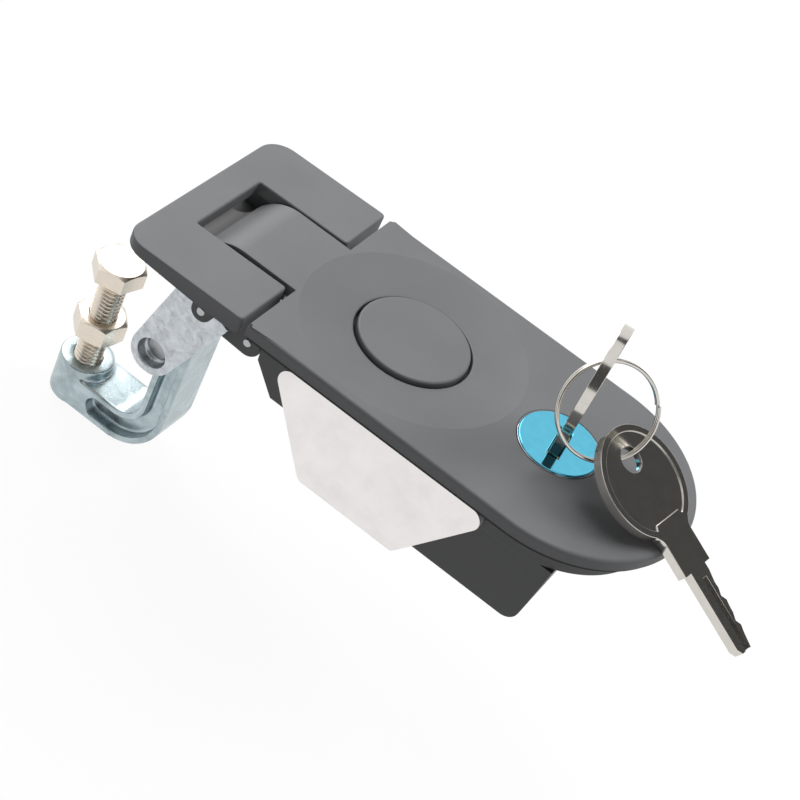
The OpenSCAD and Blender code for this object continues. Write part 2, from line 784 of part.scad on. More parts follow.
module pawl_spring() {
    wire = 1;
    inner_boss_w = 3;
    room = cheek_span / 2 - cheek_t - inner_boss_w - pawl_w / 2;
    r = pivot_pin_d / 2 + 0.4 + wire / 2;
    color([0.7, 0.71, 0.73])
    for (s = [-1, 1])
        translate([pivot_x, s * (pawl_w / 2 + room / 2) + (room - wire - 0.6) / 2, pivot_z])
            rotate([90, 0, 0])
            coil(r, wire, 4, room - wire - 0.6);
}

// Pawl: C-shaped casting with pocketed sides, a boss for the grip bolt and a slotted tail
module pawl_outline(grow = 0) {
    back_x = pivot_x + leg_w / 2 - 0.75;
    inner_x = back_x - leg_w;
    low_z = floor_z - floor_t;
    heel_x = back_x - heel_r;
    heel_z = low_z + heel_r;
    offset_x = inner_x - throat_r;
    offset_z = floor_z + throat_r;
    difference() {
        union() {
            translate([inner_x + grow, heel_z - grow]) square([leg_w - 2 * grow, pivot_z - heel_z - 1]);
            intersection() {
                translate([heel_x, heel_z]) circle(heel_r - grow, $fn = 120);
                translate([heel_x, low_z]) square([heel_r, heel_r]);
            }
            translate([bolt_x, low_z + grow]) square([heel_x - bolt_x + 0.01, floor_t - 2 * grow]);
            translate([heel_x - grow, heel_z - past])
                square([inner_x - heel_x + 2 * grow + 0.01, floor_z - heel_z + past + throat_r - 0.01]);
            translate([offset_x - grow, low_z + floor_t / 2])
                square([throat_r + 2 * grow, floor_t / 2 + throat_r + grow]);
        }
        translate([offset_x - grow, offset_z + grow]) circle(throat_r + 0, $fn = 80);
        translate([bolt_x - 20, floor_z - grow]) square([offset_x - grow - bolt_x + 20, 40]);
        translate([bolt_x - 20, offset_z + grow]) square([inner_x + grow - bolt_x + 20, 40]);
    }
}

module pawl_pocket() {
    back_x = pivot_x + leg_w / 2 - 0.75;
    inner_x = back_x - leg_w;
    low_z = floor_z - floor_t;
    heel_x = back_x - heel_r;
    heel_z = low_z + heel_r;
    rim = pocket_rim;
    end_r = floor_t / 2 - rim;
    start_x = bolt_x + bolt_boss_r + end_r;
    top_z = pivot_z - pivot_boss_r - 2;
    difference() {
        union() {
            translate([inner_x + rim, heel_z - rim]) square([leg_w - 2 * rim, top_z - heel_z + rim]);
            translate([inner_x + leg_w / 2, top_z]) circle(leg_w / 2 - rim, $fn = 48);
            intersection() {
                translate([heel_x, heel_z]) circle(heel_r - rim, $fn = 120);
                translate([heel_x - 0.01, low_z]) square([heel_r, heel_r]);
            }
            translate([start_x, low_z + rim]) square([heel_x - start_x, floor_t - 2 * rim]);
            translate([start_x, low_z + floor_t / 2]) circle(end_r, $fn = 48);
        }
        translate([inner_x - throat_r, floor_z + throat_r]) circle(throat_r + rim, $fn = 80);
        translate([bolt_x, floor_z - rim]) square([inner_x - throat_r - bolt_x, 40]);
        translate([bolt_x, floor_z + throat_r]) square([inner_x + rim - bolt_x, 40]);
    }
}

module pawl_hook() {
    tail_r = link_pin_d / 2 + 1.5;
    color([0.66, 0.69, 0.7])
    difference() {
        union() {
            slab(pawl_w) {
                pawl_outline();
                translate([pivot_x, pivot_z]) circle(pivot_boss_r, $fn = 80);
                translate([pivot_x - tail_r, pivot_z]) square([2 * tail_r, tail_l]);
                translate([link_x, link_z]) circle(tail_r, $fn = 48);
            }
            translate([bolt_x, 0, floor_z - floor_t])
                cylinder(h = floor_t + bolt_boss_h, r = bolt_boss_r, $fn = 96);
        }
        for (s = [-1, 1]) slab(pocket_d + past, s * (pawl_w / 2 + past / 2 - pocket_d / 2)) pawl_pocket();
        across(pivot_x, pivot_z, pivot_pin_d / 2 + run_fit, pawl_w + 2 * past);
        across(link_x, link_z, link_pin_d / 2, pawl_w + 2 * past);
        translate([bolt_x, 0, floor_z - floor_t - past])
            cylinder(h = floor_t + bolt_boss_h + 2 * past, d = bolt_d + 2 * run_fit, $fn = 64);
        // Slot for the link in the tail
        translate([pivot_x - 10, -link_slot_w / 2, pivot_z + pivot_boss_r + 0.6])
            cube([20, link_slot_w, 20]);
    }
}

module link_pin() {
    color([0.75, 0.76, 0.78]) across(link_x, link_z, link_pin_d / 2, pawl_w);
}

// Link: an eye on the drive pin and a wide eye round the pawl's link pin
module toggle_link() {
    dx = link_x - drive_x;
    dz = link_z - drive_z;
    l = norm([dx, dz]);
    eye_r = drive_pin_d / 2 + 1.5;
    window_w = 4.6;
    window_l = 5.7;
    window_x = 0.2;
    window_y = -0.9;
    rim = 1.3;
    color([0.7, 0.71, 0.73])
    difference() {
        slab(link_w) translate([drive_x, drive_z]) rotate(atan2(dz, dx)) difference() {
            union() {
                circle(eye_r, $fn = 48);
                translate([0, -2.2]) square([l, 4.4]);
                for (s = [-1, 1])
                    translate([l + window_x, window_y + s * (window_l - window_w) / 2])
                        circle(window_w / 2 + rim, $fn = 64);
            }
            for (s = [-1, 1])
                translate([l + window_x, window_y + s * (window_l - window_w) / 2])
                    circle(window_w / 2, $fn = 64);
        }
        across(drive_x, drive_z, drive_pin_d / 2 + run_fit, 8);
    }
}

// Grip bolt and jam nut
module hexagon(af) {
    circle(d = af / cos(30), $fn = 6);
}

module hex_body(h, low_chamfer) {
    r = hex_af / 2;
    corner = r / cos(30);
    drop = (corner - r) * tan(30);
    intersection() {
        rotate(15) linear_extrude(h) hexagon(hex_af);
        rotate_extrude($fn = 96) polygon([
            [0, 0], [low_chamfer ? r : corner + 0.2, 0], [corner + 0.2, low_chamfer ? drop : 0],
            [corner + 0.2, h - drop], [r - 0.2, h], [0, h]
        ]);
    }
}

bolt_top_z = pivot_z - bolt_top_drop;

module grip_bolt() {
    tip = 0.8;
    color([0.93, 0.9, 0.86])
    translate([bolt_x, 0, bolt_top_z - head_h]) {
        hex_body(head_h, false);
        translate([0, 0, tip - bolt_l]) cylinder(h = bolt_l - tip + 0.1, d = bolt_d, $fn = 64);
        translate([0, 0, -bolt_l]) cylinder(h = tip, r1 = bolt_d / 2 - tip, r2 = bolt_d / 2, $fn = 64);
    }
}

module jam_nut() {
    color([0.88, 0.87, 0.84])
    translate([bolt_x, 0, bolt_top_z - head_h - nut_drop - nut_h]) difference() {
        hex_body(nut_h, true);
        translate([0, 0, -past]) cylinder(h = nut_h + 2 * past, d = bolt_d + 2 * run_fit, $fn = 64);
    }
}

// Push button: cap with a collar below and a wedge-shaped stem that moves the catch
module push_button() {
    bevel = 0.35;
    color([0.34, 0.35, 0.36]) {
        difference() {
            translate([0, 0, button_low_z]) rotate_extrude($fn = 120) difference() {
                polygon([
                    [0, 0], [collar_r, 0], [collar_r, collar_h], [button_r, collar_h],
                    [button_r, button_h - bevel], [button_r - bevel, button_h], [0, button_h]
                ]);
                translate([3.4, -past])
                    square([button_r - button_skin - 3.4, button_h - button_skin + past]);
            }
        }
        slab(stem_y) polygon([
            [-stem_w / 2, button_low_z + 0.1],
            [-stem_w / 2, stem_low_z],
            [stem_foot_x, stem_low_z],
            [stem_foot_x + slide_top_z - stem_low_z, slide_top_z],
            [stem_foot_x + slide_top_z - stem_low_z, button_low_z + 0.1]
        ]);
    }
}

module button_spring() {
    low_z = seat_floor_z + button_wire / 2 + 0.05;
    high_z = button_top_z - button_skin - button_wire / 2 - 0.05;
    color([0.7, 0.71, 0.73]) translate([0, 0, low_z]) coil(button_coil_r, button_wire, 2.5, high_z - low_z);
}

// Catch: a slide with a window whose slanted end rides on the button's stem
module catch_slide() {
    gap = 0.15;
    foot = stem_foot_x + gap + (slide_low_z - stem_low_z);
    fork_x = drive_x + drive_pin_d / 2 + 1.5 + seat_gap;
    color([0.72, 0.73, 0.75])
    difference() {
        slab(slide_w) polygon([
            [slide_nose_x + 1.2, slide_top_z], [slide_tail_x, slide_top_z],
            [slide_tail_x, slide_low_z], [slide_nose_x, slide_low_z], [slide_nose_x, slide_top_z - 1.2]
        ]);
        // Fork round the link's eye
        translate([fork_x - slide_w, -link_w / 2 - seat_gap, slide_low_z - past])
            cube([slide_w, link_w + 2 * seat_gap, slide_t + 2 * past]);
        slab(stem_y + 2 * slack) polygon([
            [-stem_w / 2 - button_travel - 0.4, slide_low_z - past],
            [foot - past, slide_low_z - past],
            [foot + slide_t + past, slide_top_z + past],
            [-stem_w / 2 - button_travel - 0.4, slide_top_z + past]
        ]);
    }
}

module catch_spring() {
    x0 = slide_tail_x + catch_wire / 2 + 0.05;
    x1 = pocket_end_x - wall_t - catch_wire / 2 - 0.05;
    color([0.7, 0.71, 0.73])
    translate([x0, 0, (slide_top_z + slide_low_z) / 2]) rotate([0, 90, 0])
        coil(catch_coil_r, catch_wire, 6, x1 - x0);
}

// Lock cylinder
module lock_barrel() {
    color([0.78, 0.79, 0.8])
    translate([lock_x, 0, 0]) difference() {
        union() {
            translate([0, 0, front_z - lock_head_t]) cylinder(h = lock_head_t, d = face_d, $fn = 96);
            translate([0, 0, barrel_low_z]) cylinder(h = barrel_l - 0.1, d = barrel_d, $fn = 96);
        }
        translate([0, 0, front_z - cap_t - run_fit]) cylinder(h = 3, d = cap_d + 2 * run_fit, $fn = 96);
        translate([0, 0, barrel_low_z - past])
            cylinder(h = barrel_l + past, d = plug_d + 2 * run_fit, $fn = 96);
        translate([0, 0, clip_z - slack / 2]) difference() {
            cylinder(h = clip_t + slack, d = barrel_d + past, $fn = 96);
            translate([0, 0, -past]) cylinder(h = 4, d = barrel_d - 1.6, $fn = 96);
        }
    }
}

module barrel_clip() {
    inner = barrel_d - 1.6 + 2 * run_fit;
    outer = barrel_d + 2.4;
    color([0.7, 0.71, 0.73])
    translate([lock_x, 0, clip_z]) linear_extrude(clip_t) difference() {
        circle(d = outer, $fn = 96);
        circle(d = inner, $fn = 96);
        translate([0, -inner * 0.34]) square([outer, inner * 0.68]);
    }
}

module key_slot(z0, h) {
    rotate(key_yaw)
        translate([-key_slot_w / 2, -blade_w / 2 - slack, z0]) cube([key_slot_w, blade_w + 2 * slack, h]);
}

module lock_plug() {
    plug_top = front_z - cap_t;
    plug_low = cam_z - run_fit;
    color([0.78, 0.76, 0.66])
    translate([lock_x, 0, 0]) difference() {
        union() {
            translate([0, 0, barrel_low_z - seat_gap])
                cylinder(h = plug_top - barrel_low_z + seat_gap, d = plug_d, $fn = 80);
            translate([-cam_square / 2, -cam_square / 2, plug_low])
                cube([cam_square, cam_square, cam_t + seat_gap]);
        }
        key_slot(barrel_low_z + 0.2, 40);
        translate([0, 0, plug_low - past]) cylinder(h = cam_screw_l + past, d = cam_screw_d, $fn = 32);
    }
}

module lock_cap() {
    color([0.36, 0.78, 0.9])
    translate([lock_x, 0, 0]) difference() {
        translate([0, 0, front_z - cap_t]) cylinder(h = cap_t + 0.25, d = cap_d, $fn = 96);
        rotate(key_yaw) translate([-key_slot_w / 2, -neck_w / 2 - slack, 0])
            cube([key_slot_w, neck_w + 2 * slack, 10]);
    }
}

module lock_cam() {
    color([0.7, 0.71, 0.73])
    translate([lock_x, 0, cam_z]) difference() {
        linear_extrude(cam_t) union() {
            circle(cam_hub_r, $fn = 64);
            translate([-cam_l, -cam_arm_w / 2]) square([cam_l, cam_arm_w]);
            translate([-cam_l, 0]) circle(d = cam_arm_w, $fn = 48);
        }
        hole = cam_square + 2 * run_fit;
        translate([-hole / 2, -hole / 2, -past]) cube([hole, hole, cam_t + 2 * past]);
    }
}

module cam_screw() {
    color([0.62, 0.63, 0.65])
    translate([lock_x, 0, cam_z - run_fit]) {
        translate([0, 0, -1.5]) cylinder(h = 1.5, d = 7.4, $fn = 64);
        translate([0, 0, -0.1]) cylinder(h = cam_screw_l, d = cam_screw_d, $fn = 32);
    }
}

// Keys: bow with a sunk panel and a pointed neck, a stepped shoulder and a cut blade
function oval(l, w, n) = [for (i = [0:n - 1]) let (a = 360 * i / n) [w / 2 * cos(a), l / 2 * sin(a)]];

module key_plan() {
    bow_y = bow_l / 2 + neck_l;
    fillet = 2.5;
    translate([0, bow_y]) polygon(oval(bow_l, bow_w, 72));
    translate([-neck_w / 2, 0]) square([neck_w, neck_l + 1.5]);
    difference() {
        translate([-neck_w / 2 - 1, neck_l - 0.3 * fillet]) square([neck_w + 2, 0.9 * fillet]);
        for (s = [-1, 1])
            translate([s * (neck_w / 2 + fillet), neck_l - 0.3 * fillet]) circle(fillet, $fn = 48);
    }
    key_blade_plan();
}

module key_blade_plan() {
    tip = 1.2;
    cuts = [0.5, 0.9, 0.4, 1.0, 0.7];
    pitch = (blade_l - tip - 3) / len(cuts);
    half = blade_w / 2;
    polygon(concat(
        [[-half, 0.5], [-half, tip - blade_l], [-half + tip * 0.7, -blade_l], [half - tip, -blade_l]],
        [for (i = [len(cuts) - 1:-1:0]) for (j = [0, 1])
            [half - cuts[i] * (j == 0 ? 1 : 0.45), -2 - pitch * (i + (j == 0 ? 0.75 : 0.2))]],
        [[half, -1.4], [half, 0.5]]
    ));
}

module bow_panel() {
    bow_y = bow_l / 2 + neck_l;
    half = neck_w / 2 + 0.4;
    difference() {
        translate([0, bow_y]) polygon(oval(bow_l - 2 * bow_rim, bow_w - 2 * bow_rim, 72));
        polygon([
            [-half, neck_l - 1], [-half, neck_l + 1.6], [-half + 0.9, neck_l + 3.3],
            [half - 0.9, neck_l + 3.3], [half, neck_l + 2], [half, neck_l - 1]
        ]);
    }
}

// A key in its own frame: blade towards -Y, bow towards +Y, shoulder at Y 0, thickness along Z
module key_shape() {
    hole_y = neck_l + bow_l - key_hole_in;
    groove_d = 0.5;
    difference() {
        translate([0, 0, -key_t / 2]) linear_extrude(key_t) difference() {
            key_plan();
            translate([0, hole_y]) circle(d = key_hole_d, $fn = 48);
        }
        for (s = [0, 1]) mirror([0, 0, s]) {
            translate([0, 0, key_t / 2 - bow_panel_d]) linear_extrude(bow_panel_d + past) bow_panel();
            translate([-0.6, -blade_l - past, key_t / 2 - groove_d])
                cube([1.4, blade_l - past, groove_d + past]);
        }
    }
}

shoulder_z = front_z - cap_t;

module inserted_key() {
    color([0.8, 0.79, 0.77])
    translate([lock_x, 0, shoulder_z]) rotate([0, 0, key_yaw]) rotate([90, 0, 90]) key_shape();
}

// The ring hangs in the standing key's hole, and the spare key hangs in the ring
ring_r = ring_d / 2;

// Direction from the ring's centre to a place on it, in the leaning ring's plane
function ring_dir(turn) =
    let (a = cos(turn) * cos(ring_lean), b = sin(turn))
    [
        a * cos(ring_yaw) - b * sin(ring_yaw),
        a * sin(ring_yaw) + b * cos(ring_yaw),
        -cos(turn) * sin(ring_lean)
    ];

hang = [lock_x, 0, shoulder_z + neck_l + bow_l - key_hole_in - ring_hang];
ring_mid = hang + ring_r * ring_dir(ring_turn);

module key_ring() {
    pitch = ring_wire * 1.06;
    color([0.72, 0.72, 0.71])
    translate(ring_mid) rotate([0, ring_lean, ring_yaw]) rotate([0, 0, 110]) translate([0, 0, -pitch])
        coil(ring_r, ring_wire, 2, 2 * pitch, 2);
}

module spare_key() {
    color([0.8, 0.79, 0.77])
    translate(ring_mid + ring_r * ring_dir(spare_turn)) rotate([0, 0, spare_yaw + 90])
        rotate([spare_pitch, 0, 0]) rotate([0, spare_roll, 0])
        translate([spare_shift[0], spare_shift[1] - (neck_l + bow_l - key_hole_in), 0]) key_shape();
}

faceplate();
panel_gasket();
rear_housing();
housing_screws();
mounting_bracket();
bracket_screws();
handle();
handle_pin();
handle_spring();
drive_pin();
toggle_link();
pawl_carrier();
carrier_screws();
pawl_pivot_pin();
pawl_spring();
pawl_hook();
link_pin();
grip_bolt();
jam_nut();
push_button();
button_spring();
catch_slide();
catch_spring();
lock_barrel();
barrel_clip();
lock_plug();
lock_cap();
lock_cam();
cam_screw();
inserted_key();
key_ring();
spare_key();
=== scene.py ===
import json
import math

import bmesh
import bpy
from bpy.props import FloatProperty, IntProperty, StringProperty
from mathutils import Matrix, Quaternion, Vector


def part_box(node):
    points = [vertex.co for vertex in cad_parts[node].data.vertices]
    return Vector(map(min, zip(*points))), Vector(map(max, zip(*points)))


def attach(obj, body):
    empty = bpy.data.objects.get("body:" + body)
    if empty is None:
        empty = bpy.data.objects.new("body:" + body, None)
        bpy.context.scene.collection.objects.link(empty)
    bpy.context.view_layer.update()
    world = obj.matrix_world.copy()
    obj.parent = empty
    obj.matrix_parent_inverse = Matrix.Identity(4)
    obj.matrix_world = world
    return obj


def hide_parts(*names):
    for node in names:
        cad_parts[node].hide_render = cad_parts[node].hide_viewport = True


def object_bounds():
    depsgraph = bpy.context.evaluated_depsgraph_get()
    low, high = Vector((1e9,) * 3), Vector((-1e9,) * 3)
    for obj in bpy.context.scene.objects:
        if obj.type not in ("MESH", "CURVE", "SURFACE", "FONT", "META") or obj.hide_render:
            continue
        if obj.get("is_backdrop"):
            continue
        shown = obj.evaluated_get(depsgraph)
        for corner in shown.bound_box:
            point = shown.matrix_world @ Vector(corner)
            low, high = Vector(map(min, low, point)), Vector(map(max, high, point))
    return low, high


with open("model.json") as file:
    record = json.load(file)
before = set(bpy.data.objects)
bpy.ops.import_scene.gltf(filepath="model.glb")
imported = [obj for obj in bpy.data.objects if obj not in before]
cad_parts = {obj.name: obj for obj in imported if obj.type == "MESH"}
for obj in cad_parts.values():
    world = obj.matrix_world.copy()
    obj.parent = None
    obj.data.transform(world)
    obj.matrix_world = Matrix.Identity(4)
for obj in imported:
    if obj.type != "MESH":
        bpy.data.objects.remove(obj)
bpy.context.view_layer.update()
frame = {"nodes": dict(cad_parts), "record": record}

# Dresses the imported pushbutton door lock: a flush panel lock with a lift handle, a push
# button, a keyed cylinder and a C-shaped pawl with a grip bolt.
# The pieces are in metres, in the lock's own frame: origin on the button's axis at the
# panel's face, +X towards the key end, +Z out of the panel. Their meshes are shaped in
# millimetres, and place_piece makes them metres.

bl_info = {
    "name": "Pushbutton Door Lock",
    "version": (1, 0, 0),
    "blender": (4, 5, 0),
    "location": "View3D > Sidebar > Lock",
    "description": "Builds the dressed pieces, materials and studio of a pushbutton door lock",
    "category": "Object",
}

MM = 0.001


def corner(name, side):
    """One corner of a CAD node's box, in millimetres."""
    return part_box(name)[side] / MM


# Levels and places read from the frame, in millimetres
TOP = corner("faceplate", 1).z
KEY_END = corner("faceplate", 1).x
PLATE_HALF = corner("faceplate", 1).y
GASKET = corner("panel_gasket", 1).z
SHOULDER = corner("panel_gasket", 0).x - 0.5
ROUND_END_X = KEY_END - PLATE_HALF
HANDLE_LOW, HANDLE_HIGH = corner("handle", 0), corner("handle", 1)
BUTTON_TOP = corner("push_button", 1).z
CAP_LOW, CAP_HIGH = corner("lock_cap", 0), corner("lock_cap", 1)
LOCK_X = (CAP_LOW.x + CAP_HIGH.x) / 2
HINGE = (corner("handle_pin", 0) + corner("handle_pin", 1)) / 2
DRIVE = (corner("drive_pin", 0) + corner("drive_pin", 1)) / 2
PIVOT = (corner("pawl_pivot_pin", 0) + corner("pawl_pivot_pin", 1)) / 2
BOLT_LOW, BOLT_HIGH = corner("grip_bolt", 0), corner("grip_bolt", 1)
BOLT_X = (BOLT_LOW.x + BOLT_HIGH.x) / 2


# Values that a user would change

class LockSizes(bpy.types.PropertyGroup):
    edge_radius: FloatProperty(
        name="Edge radius", description="Rounding of the painted casting's front edges",
        default=0.8 * MM, min=0.0002, max=0.0015, subtype="DISTANCE", unit="LENGTH")
    dish_diameter: FloatProperty(
        name="Dish diameter", description="Width of the dish round the button",
        default=45.6 * MM, min=0.038, max=0.048, subtype="DISTANCE", unit="LENGTH")
    dish_depth: FloatProperty(
        name="Dish depth", description="Depth that the dish would have at its centre",
        default=1.5 * MM, min=0.0005, max=0.0019, subtype="DISTANCE", unit="LENGTH")
    button_diameter: FloatProperty(
        name="Button diameter", description="Width of the push button's face",
        default=22.5 * MM, min=0.018, max=0.024, subtype="DISTANCE", unit="LENGTH")
    cast_softness: IntProperty(
        name="Casting softness", description="Smoothing steps that round a bare casting's edges",
        default=10, min=0, max=30)
    thread_pitch: FloatProperty(
        name="Thread pitch", description="Distance between two crests of the grip bolt's thread",
        default=1.0 * MM, min=0.0005, max=0.0015, subtype="DISTANCE", unit="LENGTH")


class LockColours(bpy.types.PropertyGroup):
    paint: StringProperty(name="Paint", description="Colour of the powder coat", default="#68696B")
    cap: StringProperty(name="Cap", description="Colour of the mirror cap", default="#66C4E0")
    bracket: StringProperty(name="Bracket", description="Colour of the plated bracket", default="#F3EFEE")
    casting: StringProperty(name="Casting", description="Colour of the bare zinc casting", default="#C9CED3")
    pawl: StringProperty(name="Pawl", description="Colour of the blue zinc plate", default="#B0BEC2")
    nickel: StringProperty(name="Nickel", description="Colour of the bolt's nickel plate", default="#E4DACC")
    key: StringProperty(name="Key", description="Colour of the keys' nickel plate", default="#D6D2CB")


def sizes():
    return bpy.context.scene.lock_sizes


def colours():
    return bpy.context.scene.lock_colours


# Colours and material nodes

def channels(hex_colour):
    """The sRGB values of a hex colour, from 0 to 255."""
    digits = hex_colour.lstrip("#")
    return [int(digits[i:i + 2], 16) for i in (0, 2, 4)]


def linear(hex_colour):
    """An sRGB hex colour as linear RGBA."""
    values = [v / 255 for v in channels(hex_colour)]
    return [v / 12.92 if v <= 0.04045 else ((v + 0.055) / 1.055) ** 2.4 for v in values] + [1.0]


def shade(hex_colour, factor):
    """A hex colour made lighter or darker by a factor on its sRGB values."""
    values = [min(255, round(v * factor)) for v in channels(hex_colour)]
    return "#" + "".join(f"{v:02X}" for v in values)


def grain(width):
    """The noise scale that draws a grain of some millimetres."""
    return 1 / (width * MM)


def add_node(tree, kind, inputs=None, stops=None, **settings):
    """Adds a node. inputs gives each socket a value, or a node or a socket to link. stops are
    a colour ramp's positions and hex colours."""
    node = tree.nodes.new(kind)
    for name, value in settings.items():
        setattr(node, name, value)
    for name, value in (inputs or {}).items():
        if isinstance(value, bpy.types.Node):
            value = value.outputs[0]
        if isinstance(value, bpy.types.NodeSocket):
            tree.links.new(value, node.inputs[name])
        else:
            node.inputs[name].default_value = value
    if stops:
        band = node.color_ramp.elements
        while len(band) < len(stops):
            band.new(0.5)
        for element, (position, colour) in zip(band, stops):
            element.position = position
            element.color = linear(colour)
    return node


def bare_tree(owner):
    """The emptied node tree of a material or a world."""
    owner.use_nodes = True
    owner.node_tree.nodes.clear()
    return owner.node_tree


def new_material(name):
    """An empty material, its tree and its object coordinates."""
    material = bpy.data.materials.new(name)
    tree = bare_tree(material)
    return material, tree, add_node(tree, "ShaderNodeTexCoord").outputs["Object"]


def powder_coat():
    # Satin black powder coat on a zinc casting: an even dark grey with a fine orange-peel
    # grain of about 0.3 mm that breaks up its broad highlight. The coat is painted darker
    # with depth, as painted shade in the finger cup and on the parts behind the panel.
    material, tree, place = new_material("satin_powder_coat")
    colour = colours().paint
    cloud = add_node(tree, "ShaderNodeTexNoise", {"Vector": place, "Scale": grain(16.667), "Detail": 3.0})
    coat = add_node(tree, "ShaderNodeValToRGB", {"Fac": cloud},
                    stops=[(0.3, shade(colour, 0.97)), (0.7, shade(colour, 1.03))])
    # Painted shade: the coat's value falls from full at 4.5 mm above the panel's face to 0.46 at 4 mm below
    # it
    level = add_node(tree, "ShaderNodeSeparateXYZ", {"Vector": place})
    depth = add_node(tree, "ShaderNodeMapRange", {"Value": level.outputs["Z"], "From Min": -4 * MM,
                                                  "From Max": 4.5 * MM, "To Min": 0.46, "To Max": 1.0})
    painted_shade_coat = add_node(tree, "ShaderNodeHueSaturation", {"Value": depth, "Color": coat})
    peel = add_node(tree, "ShaderNodeTexNoise", {"Vector": place, "Scale": grain(0.3125), "Detail": 2.0})
    bump = add_node(tree, "ShaderNodeBump", {"Height": peel, "Strength": 0.22, "Distance": 0.04 * MM})
    shader = add_node(tree, "ShaderNodeBsdfPrincipled",
                      {"Base Color": painted_shade_coat, "Roughness": 0.5, "IOR": 1.5, "Normal": bump})
    add_node(tree, "ShaderNodeOutputMaterial", {"Surface": shader})
    return material


def gasket_rubber():
    # Black EPDM rubber, moulded: dull, with a faint dusty bloom
    material, tree, place = new_material("moulded_rubber")
    bloom = add_node(tree, "ShaderNodeTexNoise", {"Vector": place, "Scale": grain(2.5), "Detail": 4.0})
    dust = add_node(tree, "ShaderNodeValToRGB", {"Fac": bloom}, stops=[(0.3, "#1B1B1D"), (0.8, "#2A2A2C")])
    shader = add_node(tree, "ShaderNodeBsdfPrincipled", {"Base Color": dust, "Roughness": 0.8})
    add_node(tree, "ShaderNodeOutputMaterial", {"Surface": shader})
    return material


def bracket_plate():
    # White zinc-plated sheet steel with a satin surface and faint pink mottling
    material, tree, place = new_material("pale_plated_sheet")
    colour = colours().bracket
    patches = add_node(tree, "ShaderNodeTexNoise",
                       {"Vector": place, "Scale": grain(6.667), "Detail": 4.0, "Roughness": 0.6})
    mottled = add_node(tree, "ShaderNodeValToRGB", {"Fac": patches},
                       stops=[(0.3, shade(colour, 0.975)), (0.5, colour), (0.7, "#F6F4F2")])
    grit = add_node(tree, "ShaderNodeTexNoise", {"Vector": place, "Scale": grain(0.6667), "Detail": 3.0})
    bump = add_node(tree, "ShaderNodeBump", {"Height": grit, "Strength": 0.1, "Distance": 0.04 * MM})
    shader = add_node(tree, "ShaderNodeBsdfPrincipled",
                      {"Base Color": mottled, "Metallic": 0.9, "Roughness": 0.45, "Normal": bump})
    add_node(tree, "ShaderNodeOutputMaterial", {"Surface": shader})
    return material


def cast_metal(name, colour, low, high, roughness, lump):
    """A die-cast zinc surface: mottled reflections from shallow lumps and flow marks, of a
    width in millimetres."""
    material, tree, place = new_material(name)
    flow = add_node(tree, "ShaderNodeTexNoise", {"Vector": place, "Scale": grain(lump), "Detail": 5.0,
                                                 "Roughness": 0.6, "Distortion": 0.8})
    marks = add_node(tree, "ShaderNodeValToRGB", {"Fac": flow},
                     stops=[(0.3, shade(colour, low)), (0.52, colour), (0.72, shade(colour, high))])
    rough = add_node(tree, "ShaderNodeMapRange", {"Value": flow, "From Min": 0.3, "From Max": 0.7,
                                                  "To Min": roughness - 0.1, "To Max": roughness + 0.1})
    bump = add_node(tree, "ShaderNodeBump", {"Height": flow, "Strength": 0.35, "Distance": 0.2 * MM})
    shader = add_node(tree, "ShaderNodeBsdfPrincipled",
                      {"Base Color": marks, "Metallic": 0.85, "Roughness": rough, "Normal": bump})
    add_node(tree, "ShaderNodeOutputMaterial", {"Surface": shader})
    return material


def bare_casting():
    # Bright bare zinc of the carrier, cast and tumbled
    return cast_metal("tumbled_zinc_casting", colours().casting, 0.86, 1.1, 0.34, 1.923)


def blue_zinc():
    # Blue zinc plate on the pawl's casting: cooler and smoother than the bare casting
    return cast_metal("blue_zinc_plated_casting", colours().pawl, 0.84, 1.16, 0.26, 6.667)


def plated_metal(name, colour, roughness, marks):
    """Smooth plated or ground metal with faint handling marks in its gloss."""
    material, tree, place = new_material(name)
    smear = add_node(tree, "ShaderNodeTexNoise",
                     {"Vector": place, "Scale": grain(2.0), "Detail": 6.0, "Roughness": 0.7})
    marked = add_node(tree, "ShaderNodeValToRGB", {"Fac": smear},
                      stops=[(0.3, shade(colour, 0.95)), (0.7, colour)])
    rough = add_node(tree, "ShaderNodeMapRange", {"Value": smear, "From Min": 0.3, "From Max": 0.7,
                                                  "To Min": roughness, "To Max": roughness + marks})
    shader = add_node(tree, "ShaderNodeBsdfPrincipled",
                      {"Base Color": marked, "Metallic": 1.0, "Roughness": rough})
    add_node(tree, "ShaderNodeOutputMaterial", {"Surface": shader})
    return material


def bolt_nickel():
    # Warm nickel plate on the bolt and nut, a little dull from its barrel plating
    return plated_metal("barrel_nickel_plate", colours().nickel, 0.24, 0.08)


def key_nickel():
    # Polished nickel plate on the keys and the ring: mirrors the studio, with tiny scuffs
    return plated_metal("polished_nickel_plate", colours().key, 0.12, 0.06)


def mirror_cap():
    # Anodised aluminium cap, dyed blue and polished to a mirror
    return plated_metal("blue_anodised_cap", colours().cap, 0.08, 0.03)


def ground_steel():
    # Ground steel of the pins, link and catch
    return plated_metal("ground_steel", "#B4B6B8", 0.3, 0.08)


def spring_wire():
    # Drawn spring wire, oiled and slightly darker than the pins
    return plated_metal("drawn_spring_wire", "#9C9EA1", 0.28, 0.08)


def screw_zinc():
    # Clear zinc plate on the small screws
    return plated_metal("clear_zinc_plate", "#C4C7CA", 0.3, 0.1)


def plug_brass():
    # Machined brass of the cylinder's core
    return plated_metal("machined_brass", "#C9AE72", 0.25, 0.08)


def barrel_chrome():
    # Bright plated zinc of the cylinder's barrel
    return plated_metal("bright_plated_zinc", "#C6C8CA", 0.18, 0.05)


MATERIALS = {
    "black_paint": powder_coat, "gasket_rubber": gasket_rubber, "bracket_zinc": bracket_plate,
    "cast_zinc": bare_casting, "blue_zinc": blue_zinc, "bolt_nickel": bolt_nickel, "key_nickel": key_nickel,
    "blue_cap": mirror_cap, "pin_steel": ground_steel, "spring_steel": spring_wire, "screw_zinc": screw_zinc,
    "plug_brass": plug_brass, "lock_chrome": barrel_chrome,
}
_made = {}


